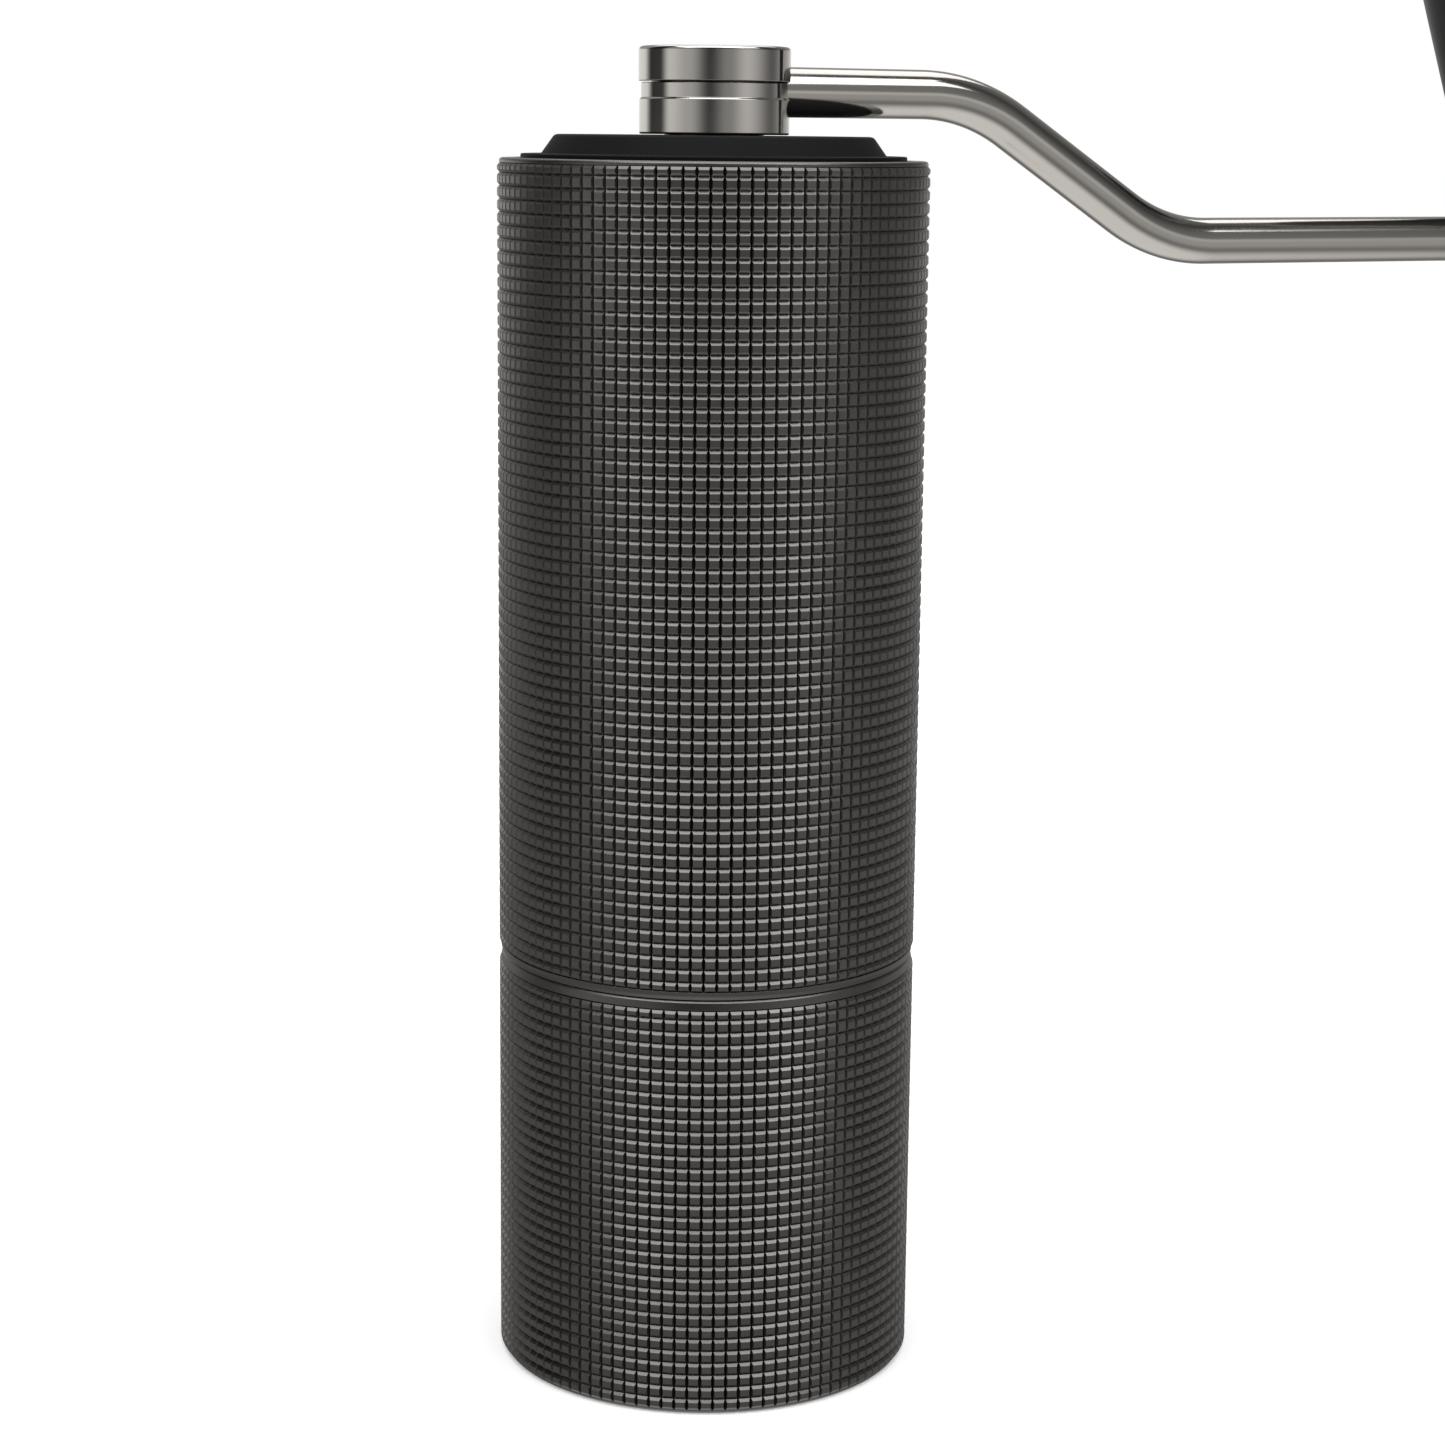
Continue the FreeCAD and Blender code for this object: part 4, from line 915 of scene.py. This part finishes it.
@dataclass
class Crank:
    """The steel hub and cap on the lid, and the bent rod that they hold."""

    stem: float = 6.0
    stem_bottom: float = 145.85
    stem_round: float = 0.3
    groove: float = 5.4
    groove_bottom: float = 146.7
    groove_top: float = 147.6
    hub: float = 9.0
    hub_bottom: float = 152.2
    hub_round: float = 0.25
    band_top: float = 156.3
    band_round: float = 0.12
    neck: float = 8.8
    neck_step: float = 0.2
    neck_round: float = 0.08
    hub_top: float = 158.25
    hub_top_round: float = 0.1
    seat: float = 7.6
    cap: float = 9.1
    cap_bottom: float = 158.4
    cap_top: float = 162.5
    cap_round: float = 0.5
    cap_under_round: float = 0.12
    socket: float = 7.1
    socket_top: float = 153.8
    cutter_room: float = 1.0
    rod: float = 3.0
    rod_fit: float = 0.02
    rod_tail: float = -5.0
    rod_height: float = 157.3
    drop: float = 18.2
    bend_start: float = 35.8
    bend_run: float = 29.3
    bend_radius: float = 25.0
    bend_steps: int = 20
    rod_sides: int = 64
    reach: float = 124.0
    eye: float = 5.0
    eye_hole: float = 2.0
    eye_height: float = 7.0
    eye_round: float = 0.7
    eye_steps: int = 96

    def build(self, dresser: Dresser) -> None:
        """Model the hub, the cap and the rod, and dress them."""
        hub = self._hub()
        cap = self._cap()
        arm = self._arm()
        for piece in (hub, cap, arm):
            Bench.smooth(piece)
        dresser.fit(hub, "crank_hub", "stainless_steel")
        dresser.fit(cap, "crank_cap", "stainless_steel")
        dresser.fit(arm, "crank_arm", "stainless_steel", DRAWN_STEEL)

    def _bore(self) -> bpy.types.Object:
        """The cutter for the bore that the rod sits in."""
        Bench.clear()
        length = self.cap * 2 - self.rod_tail
        bpy.ops.mesh.primitive_cylinder_add(
            vertices=self.rod_sides,
            radius=(self.rod + self.rod_fit) * MM,
            depth=length * MM,
            location=((self.rod_tail - self.rod_fit + length / 2) * MM, 0.0, self.rod_height * MM),
            rotation=(0.0, math.pi / 2, 0.0),
        )
        return Bench.settle("rod_cutter")

    def _hub(self) -> bpy.types.Object:
        """The turned hub with its hexagon socket and its half of the rod's bore."""
        hub = Lathe(
            "crank_hub_body",
            [
                Corner(0.0, self.stem_bottom),
                Corner(self.stem, self.stem_bottom, self.stem_round),
                Corner(self.stem, self.groove_bottom),
                Corner(self.groove, self.groove_bottom),
                Corner(self.groove, self.groove_top),
                Corner(self.stem, self.groove_top),
                Corner(self.stem, self.hub_bottom),
                Corner(self.hub, self.hub_bottom, self.hub_round),
                Corner(self.hub, self.band_top, self.band_round),
                Corner(self.neck, self.band_top + self.neck_step, self.neck_round),
                Corner(self.neck, self.hub_top, self.hub_top_round),
                Corner(self.seat, self.hub_top),
                Corner(self.seat, self.cap_bottom),
                Corner(0.0, self.cap_bottom),
            ],
            steps=FINE_TURN,
        ).turn()
        Bench.clear()
        bpy.ops.mesh.primitive_cylinder_add(
            vertices=6,
            radius=self.socket / math.sqrt(3) * MM,
            depth=(self.socket_top - self.stem_bottom + self.cutter_room) * MM,
            location=(0.0, 0.0, (self.socket_top + self.stem_bottom - self.cutter_room) / 2 * MM),
            rotation=(0.0, 0.0, math.pi / 6),
        )
        Bench.combine(hub, Bench.settle("socket_cutter"), Joining.CUT)
        Bench.combine(hub, self._bore(), Joining.CUT)
        return hub

    def _cap(self) -> bpy.types.Object:
        """The disc on the hub, with its half of the rod's bore."""
        cap = Lathe(
            "crank_cap_disc",
            [
                Corner(0.0, self.cap_bottom),
                Corner(self.cap, self.cap_bottom, self.cap_under_round),
                Corner(self.cap, self.cap_top, self.cap_round),
                Corner(0.0, self.cap_top),
            ],
            steps=FINE_TURN,
        ).turn()
        Bench.combine(cap, self._bore(), Joining.CUT)
        return cap

    def _arm(self) -> bpy.types.Object:
        """The rod with its two bends, and the eye at its outer end."""
        slope = math.atan2(self.drop, self.bend_run)
        tangent = self.bend_radius * math.tan(slope / 2)
        low = self.rod_height - self.drop
        run = math.hypot(self.drop, self.bend_run) - 2 * tangent
        Bench.clear()
        bpy.ops.mesh.primitive_circle_add(
            vertices=self.rod_sides,
            radius=self.rod * MM,
            fill_type="NOTHING",
            location=(self.rod_tail * MM, 0.0, self.rod_height * MM),
            rotation=(0.0, math.pi / 2, 0.0),
        )
        arm = Bench.settle("crank_rod")
        Bench.edit(arm)
        first = self.bend_start - tangent
        last = self.bend_start + self.bend_run + tangent
        self._run(first - self.rod_tail, 0.0)
        self._bend(first, self.rod_height - self.bend_radius, -slope)
        self._run(run * math.cos(slope), -run * math.sin(slope))
        self._bend(last, low + self.bend_radius, slope)
        self._run(self.reach - self.eye + (self.eye - self.eye_hole) / 2 - last, 0.0)
        bpy.ops.mesh.select_all(action="SELECT")
        bpy.ops.mesh.fill_holes(sides=0)
        Bench.seal(arm)
        half = self.eye_height / 2
        eye = Lathe(
            "rod_eye",
            [
                Corner(self.eye_hole, low - half),
                Corner(self.eye, low - half, self.eye_round),
                Corner(self.eye, low + half, self.eye_round),
                Corner(self.eye_hole, low + half),
            ],
            steps=self.eye_steps,
            axis_x=self.reach,
        ).turn()
        Bench.combine(arm, eye, Joining.ADD)
        return arm

    @staticmethod
    def _run(along: float, up: float) -> None:
        """Extrude the rod's open end in a straight run."""
        bpy.ops.mesh.extrude_region_move(TRANSFORM_OT_translate={"value": (along * MM, 0.0, up * MM)})

    def _bend(self, x: float, height: float, angle: float) -> None:
        """Spin the rod's open end round a bend.

        Args:
            x: distance of the bend's centre along the arm.
            height: height of the bend's centre.
            angle: the turn in radians, positive upwards.
        """
        centre = (x * MM, 0.0, height * MM)
        bpy.ops.mesh.spin(steps=self.bend_steps, angle=angle, center=centre, axis=(0.0, 1.0, 0.0))


@dataclass
class Knob:
    """The tapered knob at the end of the arm, with the plug in its top."""

    axis_x: float = Crank.reach
    bore: float = 4.57
    base: float = 5.5
    base_round: float = 0.6
    bottom: float = 143.0
    crown: float = 17.244
    crown_round: float = 8.0
    top: float = 185.65
    plug: float = 6.2
    plug_fit: float = 0.05
    plug_round: float = 0.2
    plug_bottom: float = 183.45
    well_round: float = 0.15
    head_room: float = 5.2
    head_floor: float = 180.25
    arc_step: float = 6.0

    def build(self, dresser: Dresser) -> None:
        """Turn the knob and its plug, and dress them."""
        well = self.plug + self.plug_fit
        knob = Lathe(
            "tapered_knob",
            [
                Corner(self.bore, self.bottom),
                Corner(self.base, self.bottom, self.base_round),
                Corner(self.crown, self.top, self.crown_round),
                Corner(well, self.top, self.well_round),
                Corner(well, self.plug_bottom),
                Corner(self.head_room, self.plug_bottom),
                Corner(self.head_room, self.head_floor),
                Corner(self.bore, self.head_floor),
            ],
            axis_x=self.axis_x,
            arc_step=self.arc_step,
        ).turn()
        plug = Lathe(
            "knob_top_plug",
            [
                Corner(0.0, self.plug_bottom),
                Corner(self.plug, self.plug_bottom),
                Corner(self.plug, self.top, self.plug_round),
                Corner(0.0, self.top),
            ],
            axis_x=self.axis_x,
        ).turn()
        for piece in (knob, plug):
            Bench.smooth(piece)
        dresser.fit(knob, "knob", "knob_plastic")
        dresser.fit(plug, "knob_plug", "knob_plastic")


@dataclass
class InnerWorks:
    """The burrs, bearings, shaft and dial, which keep their CAD shapes."""

    def build(self, dresser: Dresser) -> None:
        """Give every CAD node that still shows the finish of its slot."""
        for row in frame["record"]["subparts"]:
            node = frame["nodes"][row["node"]]
            if node.hide_render:
                continue
            finish = FINISHES[row["material_slot"]]
            node.data.materials.clear()
            node.data.materials.append(dresser.material(finish))
            log.info("%s keeps its shape, in %s", node.name, finish.name)


@dataclass
class Lamp:
    """A soft box: where it stands, how large and how strong it is."""

    name: str
    azimuth: float
    elevation: float
    distance: float
    size: tuple[float, float]
    strength: float

    def place(self, facing: float, target: Vector) -> None:
        """Set up the lamp.

        Args:
            facing: direction of the camera round the object, in degrees from -Y.
            target: the point that the lamp faces, in metres.
        """
        turn = math.radians(facing + self.azimuth)
        lift = math.radians(self.elevation)
        back = Vector(
            (math.sin(turn) * math.cos(lift), -math.cos(turn) * math.cos(lift), math.sin(lift))
        )
        Bench.clear()
        bpy.ops.object.light_add(type="AREA", location=target + back * self.distance)
        lamp = bpy.context.object
        lamp.name = self.name
        lamp.rotation_euler = (-back).to_track_quat("-Z", "Y").to_euler()
        lamp.data.shape = "RECTANGLE"
        lamp.data.size, lamp.data.size_y = self.size
        lamp.data.energy = self.strength * math.pi * self.size[0] * self.size[1]


@dataclass
class Viewpoint:
    """Where the camera stands, worked out from the barrel's outline."""

    distance: float = 375.02
    height: float = 152.86
    facing: float = -27.0
    pitch: float = 10.934
    yaw: float = 0.265
    roll: float = 0.594
    lens: float = 76.53
    sensor: float = 36.0
    clip: Span = (0.01, 20.0)

    def place(self) -> None:
        """Add the camera and make it the scene's."""
        Bench.clear()
        bpy.ops.object.camera_add()
        camera = bpy.context.object
        camera.name = "camera"
        camera.data.lens = self.lens
        camera.data.sensor_fit = "HORIZONTAL"
        camera.data.sensor_width = self.sensor
        camera.data.clip_start, camera.data.clip_end = self.clip
        pitch, yaw, roll = (math.radians(angle) for angle in (self.pitch, self.yaw, self.roll))
        ahead = Vector(
            (math.sin(yaw) * math.cos(pitch), math.cos(yaw) * math.cos(pitch), -math.sin(pitch))
        )
        level = Vector((math.cos(yaw), -math.sin(yaw), 0.0))
        upright = level.cross(ahead)
        right = level * math.cos(roll) + upright * math.sin(roll)
        up = upright * math.cos(roll) - level * math.sin(roll)
        turned = Matrix((right, up, -ahead)).transposed().to_4x4()
        stand = Matrix.Translation((0.0, -self.distance * MM, self.height * MM))
        camera.matrix_world = Matrix.Rotation(math.radians(self.facing), 4, "Z") @ stand @ turned
        bpy.context.scene.camera = camera


@dataclass
class Studio:
    """A plain pale floor, the room round it, soft boxes and the camera."""

    viewpoint: Viewpoint = field(default_factory=Viewpoint)
    floor_radius: float = 4.0
    floor_well: float = 0.0248
    floor_sides: int = 96
    floor_colour: Colour = (0.84, 0.84, 0.84)
    floor_roughness: float = 0.9
    floor_specular: float = 0.1
    floor_lift: Span = (0.3, 0.62)
    floor_reach: Span = (0.15, 1.1)
    room_level: float = 0.5
    warmth: Colour = (1.0, 0.985, 0.965)
    horizon: Span = (0.02, -0.16)
    panel_fade: Span = (0.03, 0.2)
    panel_least: float = 0.4
    foot_fade: Span = (-0.3, -0.6)
    foot_least: float = 0.55
    underneath: Span = (-0.6, -0.9)
    underneath_colour: Colour = (0.85, 0.84, 0.82)
    target: tuple[float, float, float] = (0.0, 0.0, 0.09)
    panels: list[Span] = field(
        default_factory=lambda: [
            (0.0, 0.9),
            (0.13, 0.9),
            (0.19, 0.04),
            (0.25, 0.05),
            (0.3, 0.75),
            (0.39, 0.5),
            (0.48, 0.06),
            (0.56, 0.3),
            (0.64, 0.62),
            (0.77, 0.14),
            (0.84, 0.35),
            (1.0, 0.9),
        ]
    )
    table: list[Span] = field(
        default_factory=lambda: [
            (0.0, 0.3),
            (0.12, 0.3),
            (0.23, 0.35),
            (0.41, 0.38),
            (0.5, 0.46),
            (0.58, 0.38),
            (0.7, 0.43),
            (0.88, 0.4),
            (1.0, 0.3),
        ]
    )
    lamps: list[Lamp] = field(
        default_factory=lambda: [
            Lamp("overhead_box", 0.0, 68.0, 1.05, (1.7, 0.9), 2.4),
            Lamp("right_box", 68.0, 46.0, 1.0, (0.35, 0.3), 2.0),
            Lamp("back_box", 180.0, 58.0, 1.1, (1.2, 0.6), 1.4),
        ]
    )

    def build(self) -> None:
        """Set up the floor, the room, the lamps and the camera."""
        bpy.context.scene.view_settings.view_transform = "Standard"
        self._floor()
        self._room()
        for lamp in self.lamps:
            lamp.place(self.viewpoint.facing, Vector(self.target))
        self.viewpoint.place()

    @staticmethod
    def _seen(tree: bpy.types.NodeTree) -> bpy.types.NodeSocket:
        """1 for what the camera sees directly or through glass, else 0."""
        path = tree.nodes.new("ShaderNodeLightPath").outputs
        return Wiring.maths(tree, "MAXIMUM", path["Is Camera Ray"], path["Is Transmission Ray"])

    def _floor(self) -> None:
        """A wide pale floor that shows white and keeps the shadow, open under the cup as it drops."""
        Bench.clear()
        bpy.ops.mesh.primitive_circle_add(
            vertices=self.floor_sides, radius=self.floor_well, fill_type="NOTHING"
        )
        floor = Bench.settle("floor")
        Bench.edit(floor)
        spread = self.floor_radius / self.floor_well
        bpy.ops.mesh.extrude_region_move()
        bpy.ops.transform.resize(value=(spread, spread, 1.0))
        Bench.seal(floor)
        material = bpy.data.materials.new("pale_floor")
        material.use_nodes = True
        tree = material.node_tree
        shader = tree.nodes["Principled BSDF"]
        shader.inputs["Base Color"].default_value = (*self.floor_colour, 1.0)
        shader.inputs["Roughness"].default_value = self.floor_roughness
        shader.inputs["Specular IOR Level"].default_value = self.floor_specular
        shader.inputs["Emission Color"].default_value = (1.0, 1.0, 1.0, 1.0)
        distance = tree.nodes.new("ShaderNodeVectorMath")
        distance.operation = "LENGTH"
        tree.links.new(tree.nodes.new("ShaderNodeTexCoord").outputs["Object"], distance.inputs[0])
        rising = Wiring.spread(tree, distance.outputs["Value"], self.floor_reach, self.floor_lift)
        lift = Wiring.maths(tree, "MULTIPLY", self._seen(tree), rising.outputs["Result"])
        tree.links.new(lift, shader.inputs["Emission Strength"])
        floor.data.materials.append(material)
        floor.visible_glossy = False

    def _around(
        self, tree: bpy.types.NodeTree, way: bpy.types.NodeSocket, stops: list[Span]
    ) -> bpy.types.NodeSocket:
        """A ring of soft panels and gaps round the object.

        Args:
            tree: the world's nodes.
            way: the share of a full turn, 0.5 in front and 0 and 1 behind.
            stops: shares of the turn and the levels there.

        Returns:
            The colour's socket.
        """
        ramp = tree.nodes.new("ShaderNodeValToRGB")
        tree.links.new(way, ramp.inputs["Fac"])
        ramp.color_ramp.interpolation = "EASE"
        elements = ramp.color_ramp.elements
        while len(elements) < len(stops):
            elements.new(0.5)
        for element, (spot, level) in zip(elements, stops):
            element.position = spot
            element.color = (*(level * share for share in self.warmth), 1.0)
        return ramp.outputs["Color"]

    def _reflected(self, tree: bpy.types.NodeTree) -> bpy.types.NodeSocket:
        """The room as smooth surfaces mirror it: panels at eye level, and a table below."""
        way = tree.nodes.new("ShaderNodeTexCoord").outputs["Generated"]
        facing = math.radians(self.viewpoint.facing)
        aside = (math.cos(facing), math.sin(facing), 0.0)
        toward = (math.sin(facing), -math.cos(facing), 0.0)
        shares = []
        for axis in (aside, toward):
            along = tree.nodes.new("ShaderNodeVectorMath")
            along.operation = "DOT_PRODUCT"
            along.inputs[1].default_value = axis
            tree.links.new(way, along.inputs[0])
            shares.append(along.outputs["Value"])
        angle = Wiring.maths(tree, "ARCTAN2", *shares)
        turn = Wiring.spread(tree, angle, (-math.pi, math.pi)).outputs["Result"]
        axes = tree.nodes.new("ShaderNodeSeparateXYZ")
        tree.links.new(way, axes.inputs[0])
        height = axes.outputs["Z"]
        panels = self._around(tree, turn, self.panels)
        level = self._dimmed(tree, height, panels, self.panel_fade, self.panel_least)
        table = self._around(tree, turn, self.table)
        below = Wiring.spread(tree, height, self.horizon, eased=True)
        mix = Wiring.blend(tree, below.outputs["Result"], level)
        tree.links.new(self._nearer(tree, height, table), mix.inputs["B"])
        return mix.outputs["Result"]

    @staticmethod
    def _dimmed(
        tree: bpy.types.NodeTree,
        height: bpy.types.NodeSocket,
        colour: bpy.types.NodeSocket,
        span: Span,
        least: float,
    ) -> bpy.types.NodeSocket:
        """A colour that fades with height.

        Args:
            tree: the world's nodes.
            height: the height of the direction.
            colour: the colour at full strength.
            span: the heights where the fading starts and ends.
            least: the share of the colour that is left at the end.

        Returns:
            The faded colour's socket.
        """
        share = Wiring.spread(tree, height, span, (1.0, least), eased=True)
        faded = tree.nodes.new("ShaderNodeVectorMath")
        faded.operation = "SCALE"
        tree.links.new(colour, faded.inputs[0])
        tree.links.new(share.outputs["Result"], faded.inputs["Scale"])
        return faded.outputs["Vector"]

    def _nearer(
        self, tree: bpy.types.NodeTree, height: bpy.types.NodeSocket, table: bpy.types.NodeSocket
    ) -> bpy.types.NodeSocket:
        """The table, darker near the object's foot and bright right below.

        Args:
            tree: the world's nodes.
            height: the height of the direction.
            table: the table's colour far out.

        Returns:
            The colour's socket.
        """
        shaded = self._dimmed(tree, height, table, self.foot_fade, self.foot_least)
        steep = Wiring.spread(tree, height, self.underneath, eased=True)
        mix = Wiring.blend(tree, steep.outputs["Result"], shaded)
        mix.inputs["B"].default_value = (*self.underneath_colour, 1.0)
        return mix.outputs["Result"]

    def _room(self) -> None:
        """A white room to the eye, and a softly uneven one in reflections."""
        world = bpy.data.worlds.new("room")
        world.use_nodes = True
        bpy.context.scene.world = world
        tree = world.node_tree
        tree.nodes.clear()
        mirrored = tree.nodes.new("ShaderNodeBackground")
        tree.links.new(self._reflected(tree), mirrored.inputs["Color"])
        plain = tree.nodes.new("ShaderNodeBackground")
        plain.inputs["Color"].default_value = (1.0, 1.0, 1.0, 1.0)
        plain.inputs["Strength"].default_value = self.room_level
        white = tree.nodes.new("ShaderNodeBackground")
        white.inputs["Color"].default_value = (1.0, 1.0, 1.0, 1.0)
        path = tree.nodes.new("ShaderNodeLightPath")
        lit = tree.nodes.new("ShaderNodeMixShader")
        tree.links.new(path.outputs["Is Glossy Ray"], lit.inputs["Fac"])
        tree.links.new(plain.outputs[0], lit.inputs[1])
        tree.links.new(mirrored.outputs[0], lit.inputs[2])
        shown = tree.nodes.new("ShaderNodeMixShader")
        tree.links.new(self._seen(tree), shown.inputs["Fac"])
        tree.links.new(lit.outputs[0], shown.inputs[1])
        tree.links.new(white.outputs[0], shown.inputs[2])
        out = tree.nodes.new("ShaderNodeOutputWorld")
        tree.links.new(shown.outputs[0], out.inputs["Surface"])


def main() -> None:
    """Model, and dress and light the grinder."""
    logging.basicConfig(level=logging.INFO, format="%(name)s: %(message)s")
    dresser = Dresser(Effects())
    for assembly in (Barrel(), CatchCup(), Lid(), Crank(), Knob(), InnerWorks()):
        assembly.build(dresser)
    Studio().build()


if __name__ == "__main__":
    main()
